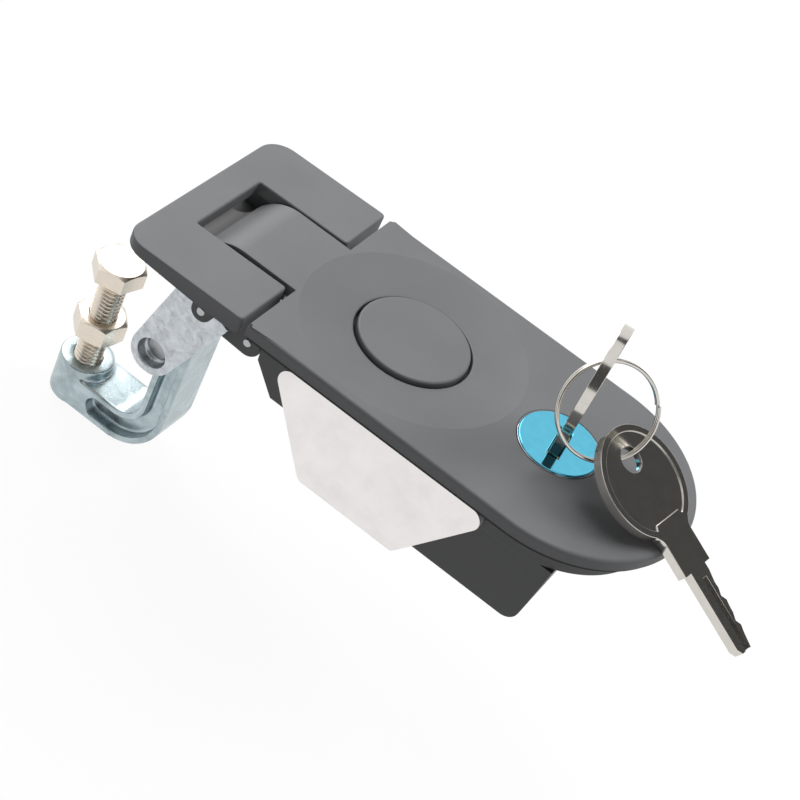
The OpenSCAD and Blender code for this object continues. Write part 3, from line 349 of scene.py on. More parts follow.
def finish_of(slot):
    """The material for one of the record's slots, made once."""
    if slot not in _made:
        _made[slot] = MATERIALS[slot]()
    return _made[slot]


# Mesh helpers

SLOT_OF = {part["node"]: part["material_slot"] for part in frame["record"]["subparts"]}
BODY_OF = {node: body for body, nodes in frame["record"]["behaviour"]["bodies"].items() for node in nodes}


def place_piece(name, mesh_data, node, crease=30, seam=None):
    """Makes an object from a bmesh in millimetres, in place of a CAD node and on its body.

    Edges that bend more than crease degrees, or that seam picks, stay sharp."""
    bmesh.ops.remove_doubles(mesh_data, verts=mesh_data.verts, dist=0.0005)
    bmesh.ops.recalc_face_normals(mesh_data, faces=mesh_data.faces)
    limit = math.radians(crease)
    for face in mesh_data.faces:
        face.smooth = True
    for edge in mesh_data.edges:
        edge.smooth = edge.is_manifold and edge.calc_face_angle(math.pi) < limit and not (seam and seam(edge))
    bmesh.ops.scale(mesh_data, vec=(MM, MM, MM), verts=mesh_data.verts)
    mesh = bpy.data.meshes.new(name)
    mesh_data.to_mesh(mesh)
    mesh_data.free()
    piece = bpy.data.objects.new(name, mesh)
    bpy.context.scene.collection.objects.link(piece)
    mesh.materials.append(finish_of(SLOT_OF[node]))
    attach(piece, BODY_OF[node])
    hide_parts(node)
    if crease < 90:
        flat = piece.modifiers.new("Flat faces", "WEIGHTED_NORMAL")
        flat.keep_sharp = True
    return piece


def node_mesh(node):
    """A merged copy of a CAD node's mesh, in millimetres, with its flat faces whole again."""
    copy = bmesh.new()
    copy.from_mesh(frame["nodes"][node].data)
    bmesh.ops.scale(copy, vec=(1 / MM, 1 / MM, 1 / MM), verts=copy.verts)
    bmesh.ops.remove_doubles(copy, verts=copy.verts, dist=0.001)
    bmesh.ops.dissolve_limit(copy, angle_limit=math.radians(0.6), verts=copy.verts, edges=copy.edges)
    return copy


def verts_of(geometry):
    """The vertices in an operator's list of geometry."""
    return [g for g in geometry if isinstance(g, bmesh.types.BMVert)]


def edges_of(geometry):
    """The edges in an operator's list of geometry."""
    return [g for g in geometry if isinstance(g, bmesh.types.BMEdge)]


def bends(edge, angle):
    """Whether two faces meet at an edge and bend there by more than an angle."""
    return edge.is_manifold and edge.calc_face_angle(0) > angle


def round_edges(mesh_data, edges, width, segments):
    """Rounds edges to a width, in some segments."""
    bmesh.ops.bevel(mesh_data, geom=edges, offset=width, offset_type="OFFSET", segments=segments, profile=0.5,
                    affect="EDGES", clamp_overlap=True, material=-1)


def bevel_sharp(mesh_data, width, segments=2, angle=32, keep=None):
    """Rounds the edges that are sharper than an angle. keep picks them by their middle."""
    limit = math.radians(angle)
    edges = [e for e in mesh_data.edges if bends(e, limit)
             and (keep is None or keep((e.verts[0].co + e.verts[1].co) / 2))]
    round_edges(mesh_data, edges, width, segments)


def rounded_node(name, node, width, segments=2):
    """A piece that is a CAD node's own shape with its sharp edges rounded."""
    part = node_mesh(node)
    bevel_sharp(part, width, segments)
    place_piece(name, part, node)


def cut_off(mesh_data, place, normal):
    """Cuts away what lies past a plane, on its normal's side, and returns the edges of the cut."""
    whole = mesh_data.verts[:] + mesh_data.edges[:] + mesh_data.faces[:]
    cut = bmesh.ops.bisect_plane(mesh_data, geom=whole, plane_co=place, plane_no=normal, clear_outer=True)
    return edges_of(cut["geom_cut"])


def round_chamfer(mesh_data, axis_x, z, radius, up, lean=60, cuts=36):
    """Turns a cone off a hexagon's corners: radius is what stays flat at height z."""
    for i in range(cuts):
        turn = math.tau * (i + 0.5) / cuts
        out = Vector((math.cos(turn), math.sin(turn), 0))
        normal = out * math.cos(math.radians(lean)) + Vector((0, 0, up * math.sin(math.radians(lean))))
        rim = cut_off(mesh_data, Vector((axis_x, 0, z)) + out * radius, normal)
        bmesh.ops.edgeloop_fill(mesh_data, edges=rim)


def thicken(mesh_data):
    """Gives a sheet a second layer, joined to it by walls, and returns the layer's vertices."""
    grown = bmesh.ops.extrude_face_region(mesh_data, geom=mesh_data.faces[:], use_keep_orig=True)
    return verts_of(grown["geom"])


def grow_ring(mesh_data, ring, radius, z):
    """Extrudes a ring of edges to another radius and height, and returns the new ring."""
    grown = bmesh.ops.extrude_edge_only(mesh_data, edges=ring)["geom"]
    verts = verts_of(grown)
    for v in verts:
        v.co = Vector((*(v.co.xy.normalized() * radius), z))
    return [e for e in edges_of(grown) if all(v in verts for v in e.verts)]


def soft_casting(mesh_data, voxel, steps):
    """A mesh remade in even small faces and smoothed, so that every edge is softly rounded."""
    mesh = bpy.data.meshes.new("casting_blank")
    mesh_data.to_mesh(mesh)
    mesh_data.free()
    blank = bpy.data.objects.new("casting_blank", mesh)
    bpy.context.scene.collection.objects.link(blank)
    remesh = blank.modifiers.new("Remesh", "REMESH")
    remesh.mode = "VOXEL"
    remesh.voxel_size = voxel
    smooth = blank.modifiers.new("Smooth", "SMOOTH")
    smooth.factor = 0.5
    smooth.iterations = steps
    evaluated = blank.evaluated_get(bpy.context.evaluated_depsgraph_get())
    result = bmesh.new()
    result.from_mesh(evaluated.to_mesh())
    evaluated.to_mesh_clear()
    bpy.data.objects.remove(blank)
    bpy.data.meshes.remove(mesh)
    return result


def loop_edges(mesh_data, points):
    """A closed loop of edges through points."""
    verts = [mesh_data.verts.new(p) for p in points]
    return [mesh_data.edges.new((a, b)) for a, b in zip(verts, verts[1:] + verts[:1])]


def arc(centre, radius, start, end, steps):
    """Points on an arc in the XY plane, angles in degrees, ends included."""
    return [Vector((centre[0] + radius * math.cos(math.radians(start + (end - start) * i / steps)),
                    centre[1] + radius * math.sin(math.radians(start + (end - start) * i / steps)), 0))
            for i in range(steps + 1)]


def round_xz(centre, radius, degrees):
    """(x, z) points round a centre at some angles."""
    return [(centre.x + radius * math.cos(math.radians(a)), centre.z + radius * math.sin(math.radians(a)))
            for a in degrees]


def ring_points(radius, z, steps, centre=(0, 0)):
    """Points on a full circle at a height."""
    return [Vector((centre[0] + radius * math.cos(math.tau * i / steps),
                    centre[1] + radius * math.sin(math.tau * i / steps), z)) for i in range(steps)]


def spun(mesh_data, profile, centre=(0, 0, 0), steps=96):
    """Spins an (r, z) profile round the Z axis through centre into a closed solid."""
    verts = [mesh_data.verts.new((centre[0] + r, centre[1], centre[2] + z)) for r, z in profile]
    edges = [mesh_data.edges.new(pair) for pair in zip(verts, verts[1:])]
    bmesh.ops.spin(mesh_data, geom=verts + edges, cent=centre, axis=(0, 0, 1), angle=math.tau, steps=steps,
                   use_merge=True)
    bmesh.ops.remove_doubles(mesh_data, verts=mesh_data.verts, dist=0.0005)


def coil(mesh_data, centre, axis, radius, wire, turns, rise, start=0.0, sides=12, per_turn=48, run=None):
    """A round wire wound about axis through centre, from there on by rise, with closed ends."""
    axis = Vector(axis).normalized()
    side = (Vector(run) if run else axis.orthogonal()).normalized()
    side = Quaternion(axis, start) @ side
    made = bmesh.ops.create_circle(mesh_data, cap_ends=False, segments=sides, radius=wire / 2)
    turn = Matrix((side, axis, side.cross(axis))).transposed().to_4x4()
    bmesh.ops.transform(mesh_data, verts=made["verts"],
                        matrix=Matrix.Translation(Vector(centre) + side * radius) @ turn)
    edges = list({e for v in made["verts"] for e in v.link_edges})
    steps = round(turns * per_turn)
    spin = bmesh.ops.spin(mesh_data, geom=made["verts"] + edges, cent=centre, axis=axis,
                          angle=math.tau * turns, steps=steps, dvec=axis * (rise / steps))
    for end in (edges, edges_of(spin["geom_last"])):
        bmesh.ops.edgeloop_fill(mesh_data, edges=end)


def recessed_head(mesh_data, place, direction, radius, height, recess, depth, sides=40):
    """A domed screw head whose underside is at place, with a recess cut to the given outline."""
    blank = bmesh.new()
    within = radius * 0.7
    rim = ring_points(radius * 0.72, height, sides)
    cut = [Vector((x, y, height)) for x, y in recess]
    bmesh.ops.triangle_fill(blank, edges=loop_edges(blank, rim) + loop_edges(blank, cut), use_beauty=True)
    inner = [f for f in blank.faces if all(v.co.xy.length < within for v in f.verts)]
    bmesh.ops.delete(blank, geom=inner, context="FACES_ONLY")
    lip = [e for e in blank.edges if e.is_boundary and all(v.co.xy.length < within for v in e.verts)]
    sunk = bmesh.ops.extrude_edge_only(blank, edges=lip)["geom"]
    low = verts_of(sunk)
    bmesh.ops.translate(blank, vec=(0, 0, -depth), verts=low)
    bmesh.ops.edgeloop_fill(blank, edges=[e for e in edges_of(sunk) if all(v in low for v in e.verts)])
    outer = [e for e in blank.edges if e.is_boundary]
    for reach, level in ((0.9, 0.88), (1.0, 0.55), (1.0, 0.0)):
        outer = grow_ring(blank, outer, radius * reach, height * level)
    bmesh.ops.edgeloop_fill(blank, edges=outer)
    join_turned(mesh_data, blank, place, direction)


def join(mesh_data, other):
    """Adds one bmesh's faces to another."""
    mesh = bpy.data.meshes.new("joined_part")
    other.to_mesh(mesh)
    other.free()
    mesh_data.from_mesh(mesh)
    bpy.data.meshes.remove(mesh)


def join_turned(mesh_data, part, place, direction):
    """Adds a part that points up, turned to a direction and moved to a place."""
    turn = Vector((0, 0, 1)).rotation_difference(Vector(direction)).to_matrix().to_4x4()
    bmesh.ops.transform(part, verts=part.verts, matrix=Matrix.Translation(place) @ turn)
    join(mesh_data, part)


def wind_thread(mesh_data, profile, top, pitch, turns, per_turn):
    """Winds a thread's (radius, depth) profile down from top, round the vertical through it."""
    verts = [mesh_data.verts.new((top[0] + r, top[1], top[2] - depth)) for r, depth in profile]
    edges = [mesh_data.edges.new(pair) for pair in zip(verts, verts[1:])]
    steps = turns * per_turn
    bmesh.ops.spin(mesh_data, geom=verts + edges, cent=(top[0], top[1], 0), axis=(0, 0, 1),
                   angle=math.tau * turns, steps=steps, dvec=(0, 0, -pitch * turns / steps))
    bmesh.ops.remove_doubles(mesh_data, verts=mesh_data.verts, dist=0.002)


CROSS = [(0.35, 0.35), (0.35, 1.5), (-0.35, 1.5), (-0.35, 0.35), (-1.5, 0.35), (-1.5, -0.35),
         (-0.35, -0.35), (-0.35, -1.5), (0.35, -1.5), (0.35, -0.35), (1.5, -0.35), (1.5, 0.35)]


def m3_screw(mesh_data, head_place, length):
    """An M3 cross-head screw that points up: a domed head below head_place and a threaded shank."""
    head_r, head_h, crest, root, pitch = 2.8, 1.75, 1.48, 1.22, 0.5
    recessed_head(mesh_data, head_place, (0, 0, -1), head_r, head_h, CROSS, head_h * 0.6)
    shank = bmesh.new()
    profile = [(root, 0.0), (crest, pitch * 0.45), (crest, pitch * 0.55), (root, pitch)]
    wind_thread(shank, profile, (0, 0, 0), pitch, round(length / pitch), 16)
    core = bmesh.ops.create_cone(shank, cap_ends=True, segments=24, radius1=root - 0.12,
                                 radius2=root + 0.03, depth=length + pitch)
    bmesh.ops.translate(shank, vec=(0, 0, -(length + pitch) / 2), verts=core["verts"])
    join_turned(mesh_data, shank, head_place, (0, 0, -1))


# Operators, one for each piece or group of like pieces

class LOCK_OT_faceplate(bpy.types.Operator):
    """Builds the painted faceplate with its dish, bent tongue and locating rim"""
    bl_idname = "lock.faceplate"
    bl_label = "Faceplate"

    def execute(self, context):
        radius = sizes().edge_radius / MM
        dish_r = sizes().dish_diameter / MM / 2
        well_r = sizes().button_diameter / MM / 2 + 0.6
        lock_r = CAP_HIGH.x - LOCK_X + 0.35
        bend_x = SHOULDER - 12.1
        plate = self.blank(bend_x, dish_r, lock_r)
        self.dish(plate, dish_r, well_r)
        for v in thicken(plate):
            v.co.z = GASKET
        bend, bend_r, cup, cup_r = self.tongue(plate, bend_x)
        bmesh.ops.recalc_face_normals(plate, faces=plate.faces)

        def high(v):
            """Whether a vertex lies on the plate's or the tongue's upper surface."""
            if v.co.x > bend_x - 0.001:
                return v.co.z > GASKET + 0.5
            side = v.co - Vector((0, v.co.y, 0))
            return abs((side - bend).length - bend_r) < 0.05 or (
                abs((side - cup).length - cup_r) < 0.05 and v.co.z < cup.z)

        def sharp_edges():
            return [e for e in plate.edges if bends(e, 0.6) and all(map(high, e.verts))]

        sharp = sharp_edges()
        lock = Vector((LOCK_X, 0))
        holes = [e for e in sharp if all(v.co.xy.length < dish_r - 5 for v in e.verts)
                 or all((v.co.xy - lock).length < lock_r + 1 for v in e.verts)]
        sides = [e for e in sharp if e not in holes and min(v.co.x for v in e.verts) > SHOULDER - 0.01
                 and max(v.co.x for v in e.verts) > SHOULDER + 0.01]
        round_edges(plate, sides, radius, 6)
        round_edges(plate, holes, 0.25, 3)
        front = [e for e in sharp_edges() if max(v.co.x for v in e.verts) < SHOULDER + 0.01]
        round_edges(plate, front, 0.3, 3)
        self.cup_walls(plate, cup, cup_r)
        self.locating_rim(plate)

        def dish_rim(edge):
            return all(abs(v.co.xy.length - dish_r) < 0.02 and v.co.z > TOP - 0.01 for v in edge.verts)
        place_piece("faceplate_casting", plate, "faceplate", crease=24, seam=dish_rim)
        return {"FINISHED"}

    def blank(self, bend_x, dish_r, lock_r):
        """The plate's flat top with its two round openings, up to where the tongue bends."""
        plate = bmesh.new()
        half, tongue = PLATE_HALF, 9.6
        outline = ([Vector(p) for p in ((bend_x, -tongue, 0), (SHOULDER, -tongue, 0), (SHOULDER, -half, 0))]
                   + arc((ROUND_END_X, 0), half, -90, 90, 96)
                   + [Vector(p) for p in ((SHOULDER, half, 0), (SHOULDER, tongue, 0), (bend_x, tongue, 0))])
        edges = (loop_edges(plate, [p + Vector((0, 0, TOP)) for p in outline])
                 + loop_edges(plate, ring_points(dish_r, TOP, 128))
                 + loop_edges(plate, ring_points(lock_r, TOP, 96, (LOCK_X, 0))))
        bmesh.ops.triangle_fill(plate, edges=edges, use_beauty=True)
        openings = ((Vector((0, 0)), dish_r * 0.999), (Vector((LOCK_X, 0)), lock_r * 0.999))
        inside = [f for f in plate.faces if any((f.calc_center_median().xy - middle).length < reach
                                                for middle, reach in openings)]
        bmesh.ops.delete(plate, geom=inside, context="FACES_ONLY")
        bmesh.ops.delete(plate, geom=[e for e in plate.edges if not e.link_faces], context="EDGES")
        return plate

    def dish(self, plate, dish_r, well_r, rings=18):
        """The dish falls away towards the button's well on a part of a sphere."""
        depth = sizes().dish_depth / MM
        sphere_r = (dish_r ** 2 + depth ** 2) / (2 * depth)
        ring = [e for e in plate.edges if e.is_boundary
                and all(abs(v.co.xy.length - dish_r) < 0.01 for v in e.verts)]
        for i in range(1, rings + 1):
            r = dish_r + (well_r - dish_r) * i / rings
            ring = grow_ring(plate, ring, r, TOP - depth + sphere_r - math.sqrt(sphere_r ** 2 - r ** 2))

    def tongue(self, plate, bend_x):
        """Bends the tongue down inside the handle and back out as the hollow of a finger cup."""
        end = [f for f in plate.faces if all(abs(v.co.x - bend_x) < 0.001 for v in f.verts)]
        loops = list({e for f in end for e in f.edges})
        bmesh.ops.delete(plate, geom=end, context="FACES_ONLY")
        slope, bend_r, cup_depth, lip = math.radians(66), 9.8, 9.1, 0.6
        cup_r = (cup_depth - bend_r * (1 - math.cos(slope))) / (1 - math.cos(slope))
        bend = Vector((bend_x, 0, TOP - bend_r))
        cup = bend + (bend_r + cup_r) * Vector((-math.sin(slope), 0, math.cos(slope)))
        for centre, angle in ((bend, -slope), (cup, slope)):
            spin = bmesh.ops.spin(plate, geom=loops, cent=centre, axis=(0, 1, 0), angle=angle, steps=26)
            loops = edges_of(spin["geom_last"])
        floor = bmesh.ops.extrude_edge_only(plate, edges=loops)["geom"]
        bmesh.ops.translate(plate, vec=(-lip, 0, 0), verts=verts_of(floor))
        bmesh.ops.edgeloop_fill(plate, edges=[e for e in edges_of(floor) if all(v in floor for v in e.verts)])
        return bend, bend_r, cup, cup_r

    def cup_walls(self, plate, cup, cup_r):
        """The finger cup's floor and side walls, under the handle's arms. They end short of the
        handle's tails, which swing past them."""
        top = cup.z - cup_r
        low, length, outer = top - 1.2, 11.0, 15.2
        for side in (-1, 1):
            for y0, z1 in ((9.4, top), (14.1, -0.5)):
                wall = bmesh.ops.create_cube(plate, size=1.0)["verts"]
                bmesh.ops.scale(plate, vec=(length, outer - y0, z1 - low), verts=wall)
                middle = (cup.x - 0.6 + length / 2, side * (y0 + outer) / 2, (low + z1) / 2)
                bmesh.ops.translate(plate, vec=middle, verts=wall)

    def locating_rim(self, plate):
        """The rim under the flange's round end, which locates the housing."""
        rim = bmesh.new()
        inner, outer, start, low = 19.2, 21, 24, -5.5
        path = ([Vector((start, -inner, 0))] + arc((ROUND_END_X, 0), inner, -90, 90, 64)
                + [Vector((start, inner, 0)), Vector((start, outer, 0))]
                + arc((ROUND_END_X, 0), outer, 90, -90, 64) + [Vector((start, -outer, 0))])
        bmesh.ops.edgeloop_fill(rim, edges=loop_edges(rim, path))
        upper = thicken(rim)
        for v in rim.verts:
            v.co.z = low
        for v in upper:
            v.co.z = GASKET + 0.1
        bmesh.ops.recalc_face_normals(rim, faces=rim.faces)
        bevel_sharp(rim, 0.25, keep=lambda p: p.z < 0)
        join(plate, rim)


class LOCK_OT_handle(bpy.types.Operator):
    """Builds the lift handle with its finger hole, hinge lugs and drive tails"""
    bl_idname = "lock.handle"
    bl_label = "Handle"

    def execute(self, context):
        handle = bmesh.new()
        half, left, right = HANDLE_HIGH.y, HANDLE_LOW.x, SHOULDER - 1.4
        hole, hole_x, hole_r, mouth_r, end_r, tip_r = 10.4, left + 6.7, 0.4, 0.8, 5, 1
        outline = ([Vector((right, -half + tip_r, 0)), Vector((right, -hole - mouth_r, 0))]
                   + arc((right - mouth_r, -hole - mouth_r), mouth_r, 0, 90, 4)
                   + arc((hole_x + hole_r, -hole + hole_r), hole_r, -90, -180, 4)
                   + arc((hole_x + hole_r, hole - hole_r), hole_r, 180, 90, 4)
                   + arc((right - mouth_r, hole + mouth_r), mouth_r, -90, 0, 4)
                   + arc((right - tip_r, half - tip_r), tip_r, 0, 90, 6)
                   + arc((left + end_r, half - end_r), end_r, 90, 180, 16)
                   + arc((left + end_r, -half + end_r), end_r, 180, 270, 16)
                   + arc((right - tip_r, -half + tip_r), tip_r, -90, 0, 6)[:-1])
        bmesh.ops.edgeloop_fill(handle, edges=loop_edges(handle, outline))
        bmesh.ops.remove_doubles(handle, verts=handle.verts, dist=0.01)
        bmesh.ops.triangulate(handle, faces=handle.faces)

        # The underside is level up to taper_x and rises from there to the closed end
        taper_x, taper_mid, under, rise, run, drop = -34.0, -40.0, -0.2, 1.05, 17.3, 0.55
        for x in (taper_x, taper_mid):
            whole = handle.verts[:] + handle.edges[:] + handle.faces[:]
            bmesh.ops.bisect_plane(handle, geom=whole, plane_co=(x, 0, 0), plane_no=(1, 0, 0))
        upper = thicken(handle)
        for v in handle.verts:
            v.co.z = under + max(0.0, taper_x - v.co.x) * rise / run
        for v in upper:
            v.co.z = TOP - (right - v.co.x) * drop / (right - left)
        bmesh.ops.recalc_face_normals(handle, faces=handle.faces)
        bmesh.ops.dissolve_limit(handle, angle_limit=math.radians(0.5), verts=handle.verts,
                                 edges=handle.edges)
        rims = [e for e in handle.edges if bends(e, 0.8) and min(v.co.z for v in e.verts) > 1.9
                and abs(e.verts[0].co.z - e.verts[1].co.z) < 0.7]
        round_edges(handle, rims, 0.45, 4)
        for side in (-1, 1):
            self.lug(handle, side)
            self.tail(handle, side)
        place_piece("lift_handle", handle, "handle", crease=26)
        return {"FINISHED"}

    def side_plate(self, handle, points, y0, y1):
        """A plate under the handle from an XZ outline, between two widths."""
        part = bmesh.new()
        bmesh.ops.edgeloop_fill(part, edges=loop_edges(part, [Vector((x, y0, z)) for x, z in points]))
        bmesh.ops.translate(part, vec=(0, y1 - y0, 0), verts=thicken(part))
        bmesh.ops.recalc_face_normals(part, faces=part.faces)
        bevel_sharp(part, 0.3, keep=lambda p: p.z < -0.6)
        join(handle, part)

    def lug(self, handle, side):
        """The round ear on the hinge pin's end."""
        r, inner, outer, root = 2.3, 19.3, 22.3, 0.6
        points = round_xz(HINGE, r, range(-180, 1, 10)) + [(HINGE.x + r, root), (HINGE.x - r, root)]
        self.side_plate(handle, points, *sorted((side * inner, side * outer)))

    def tail(self, handle, side):
        """The inner ear that carries the drive pin."""
        inner, outer, root, web_x = 11.0, 15.6, 0.4, -23.6
        boss = round_xz(DRIVE, 3.0, range(-90, 1, 10))
        hollow = round_xz(HINGE, 3.2, range(36, -85, -12))
        points = boss + [(web_x, root), (HINGE.x + 3.4, root)] + hollow + [
            (HINGE.x + 0.8, DRIVE.z - 1.8), (HINGE.x + 1.6, DRIVE.z - 2.6)]
        self.side_plate(handle, points, *sorted((side * inner, side * outer)))


class LOCK_OT_button(bpy.types.Operator):
    """Builds the push button, its spring and the catch that it moves"""
    bl_idname = "lock.button"
    bl_label = "Button and catch"

    def execute(self, context):
        button = bmesh.new()
        r = sizes().button_diameter / MM / 2
        low, collar, ceiling, hub, edge = BUTTON_TOP - 4.4, r + 1.4, BUTTON_TOP - 1.6, 3.4, 0.45
        bend = [(r - edge + edge * math.sin(a), BUTTON_TOP - edge + edge * math.cos(a))
                for a in map(math.radians, range(0, 91, 15))]
        spun(button, [(0, BUTTON_TOP), (r - 3.2, BUTTON_TOP)] + bend
             + [(r, low + 1.2), (collar - 0.2, low + 1.2), (collar, low + 1.0), (collar, low), (r - 1.6, low),
                (r - 1.6, ceiling), (hub, ceiling), (hub, low), (0, low)], steps=128)
        stem = node_mesh("push_button")
        cut_off(stem, (0, 0, low - 0.02), (0, 0, 1))
        bmesh.ops.holes_fill(stem, edges=[e for e in stem.edges if e.is_boundary])
        join(button, stem)
        place_piece("button_cap", button, "push_button")

        # The coil ends 1.2 mm under the cap, so a pose that doesn't shorten it keeps it inside
        spring, wire, short = bmesh.new(), 0.9, 1.2
        low, high = corner("button_spring", 0), corner("button_spring", 1)
        coil(spring, (0, 0, low.z + wire / 2), (0, 0, 1), radius=7.5, wire=wire, turns=2.5,
             rise=high.z - low.z - wire - short)
        place_piece("button_spring_coil", spring, "button_spring")
        rounded_node("catch_slide_plate", "catch_slide", 0.2)
        back, wire, short = bmesh.new(), 0.5, 0.15
        low, high = corner("catch_spring", 0), corner("catch_spring", 1)
        start = (low.x + wire / 2 + short, 0, (low.z + high.z) / 2)
        coil(back, start, (1, 0, 0), radius=1.1, wire=wire, turns=6, rise=high.x - low.x - wire - short)
        place_piece("catch_spring_coil", back, "catch_spring")
        return {"FINISHED"}


class LOCK_OT_housing(bpy.types.Operator):
    """Finishes the painted housing, the gasket and their screws"""
    bl_idname = "lock.housing"
    bl_label = "Housing and gasket"

    def execute(self, context):
        rounded_node("housing_casting", "rear_housing", 0.5, 3)
        rounded_node("gasket_band", "panel_gasket", 0.15)
        screws = bmesh.new()
        for x, y, z in ((-15, 15.6, -10.5), (-15, -15.6, -10.5), (41, 14, -19.6), (41, -14, -19.6)):
            m3_screw(screws, (x, y, z), 1.2 - z)
        place_piece("housing_cross_screws", screws, "housing_screws", crease=35)
        return {"FINISHED"}


class LOCK_OT_bracket(bpy.types.Operator):
    """Finishes the folded bracket and its screws"""
    bl_idname = "lock.bracket"
    bl_label = "Bracket"

    def execute(self, context):
        rounded_node("folded_bracket", "mounting_bracket", 0.2)
        low, high = corner("bracket_screws", 0), corner("bracket_screws", 1)
        web = corner("mounting_bracket", 0).z
        screws = bmesh.new()
        for x in (low.x + 2.8, high.x - 2.8):
            m3_screw(screws, (x, 0, web), 8)
        place_piece("bracket_cross_screws", screws, "bracket_screws", crease=35)
        return {"FINISHED"}


class LOCK_OT_pawl(bpy.types.Operator):
    """Builds the cast pawl, its carrier and the bare metal parts round them"""
    bl_idname = "lock.pawl"
    bl_label = "Pawl and carrier"

    def execute(self, context):
        for node, name in (("pawl_hook", "pawl_casting"), ("pawl_carrier", "carrier_casting")):
            casting = soft_casting(node_mesh(node), 0.26, sizes().cast_softness)
            place_piece(name, casting, node, crease=180)
        screws = bmesh.new()
        low, high = corner("carrier_screws", 0), corner("carrier_screws", 1)
        for y in (-6, 6):
            m3_screw(screws, ((low.x + high.x) / 2, y, low.z + 1.8), 2.7)
        place_piece("carrier_cross_screws", screws, "carrier_screws", crease=35)
        for node, tips in (("handle_pin", (HINGE, 22.55)), ("drive_pin", (DRIVE, 15.85)),
                           ("pawl_pivot_pin", None), ("link_pin", None), ("toggle_link", None)):
            part = node_mesh(node)
            if tips:
                self.turned_tips(part, *tips)
            bevel_sharp(part, 0.3, 3)
            place_piece(node + "_steel", part, node)
        wires = bmesh.new()
        length = 8.0
        coil(wires, (HINGE.x, -length / 2, HINGE.z), (0, 1, 0), radius=2.9, wire=0.7, turns=5, rise=length)
        place_piece("handle_spring_coil", wires, "handle_spring")
        wires, wire, cheek = bmesh.new(), 1.0, 6.6
        reach = corner("pawl_spring", 1).y
        for side in (-1, 1):
            start = (PIVOT.x, side * (reach - wire / 2), PIVOT.z)
            coil(wires, start, (0, -side, 0), radius=3.4, wire=wire, turns=4, rise=reach - wire / 2 - cheek)
        place_piece("pawl_spring_coils", wires, "pawl_spring")
        return {"FINISHED"}

    def turned_tips(self, pin, place, reach):
        """Shortens a pin a little and gives it turned tips, which end at reach on both sides."""
        bmesh.ops.scale(pin, vec=(1, 0.97, 1), verts=pin.verts)
        length, radius = 2.0, 0.9
        for side in (-1, 1):
            tip = bmesh.ops.create_cone(pin, cap_ends=True, segments=32, radius1=radius, radius2=radius,
                                        depth=length)["verts"]
            bmesh.ops.rotate(pin, cent=(0, 0, 0), matrix=Matrix.Rotation(math.pi / 2, 3, "X"), verts=tip)
            bmesh.ops.translate(pin, vec=(place.x, side * (reach - length / 2), place.z), verts=tip)


class LOCK_OT_bolt(bpy.types.Operator):
    """Builds the threaded grip bolt and its jam nut"""
    bl_idname = "lock.bolt"
    bl_label = "Grip bolt and nut"

    def execute(self, context):
        pitch = sizes().thread_pitch / MM
        bolt = node_mesh("grip_bolt")
        under, flat_r, crest, root, point = BOLT_HIGH.z - 4.0, 4.75, 2.98, 2.45, 0.9
        cut_off(bolt, (0, 0, under), (0, 0, -1))
        bmesh.ops.holes_fill(bolt, edges=[e for e in bolt.edges if e.is_boundary])
        round_chamfer(bolt, BOLT_X, BOLT_HIGH.z, flat_r, 1)
        bevel_sharp(bolt, 0.08, 2, angle=14)
        thread = bmesh.new()
        turns = math.floor((under - BOLT_LOW.z - point) / pitch)
        profile = [(root, 0.0), (crest, pitch * 0.42), (crest, pitch * 0.58), (root, pitch)]
        wind_thread(thread, profile, (BOLT_X, 0, under), pitch, turns, 40)
        join(bolt, thread)
        core = bmesh.new()
        spun(core, [(0, under + 0.1), (root + 0.05, under + 0.1), (root + 0.05, BOLT_LOW.z + point),
                    (1.9, BOLT_LOW.z), (0, BOLT_LOW.z)], centre=(BOLT_X, 0, 0), steps=48)
        join(bolt, core)
        place_piece("grip_bolt_threaded", bolt, "grip_bolt", crease=28)
        nut = node_mesh("jam_nut")
        for level, up in ((corner("jam_nut", 1).z, 1), (corner("jam_nut", 0).z, -1)):
            round_chamfer(nut, BOLT_X, level, flat_r, up)
        bevel_sharp(nut, 0.08, 2, angle=14)
        place_piece("jam_nut_hex", nut, "jam_nut", crease=28)
        return {"FINISHED"}


class LOCK_OT_cylinder(bpy.types.Operator):
    """Finishes the keyed cylinder: barrel, core, mirror cap, cam, screw and clip"""
    bl_idname = "lock.cylinder"
    bl_label = "Cylinder"

    def execute(self, context):
        for node, width in (("lock_barrel", 0.12), ("lock_plug", 0.2), ("lock_cap", 0.22),
                            ("lock_cam", 0.2), ("barrel_clip", 0.15)):
            rounded_node(node + "_finished", node, width, 3)
        screws = bmesh.new()
        low, high = corner("cam_screw", 0).z, corner("cam_screw", 1).z
        recessed_head(screws, (LOCK_X, 0, low + 1.5), (0, 0, -1), 3.7, 1.45, CROSS, 0.9)
        spun(screws, [(0, low + 1.4), (1.0, low + 1.4), (1.0, high), (0, high)], centre=(LOCK_X, 0, 0),
             steps=24)
        place_piece("cam_cross_screw", screws, "cam_screw", crease=35)
        return {"FINISHED"}


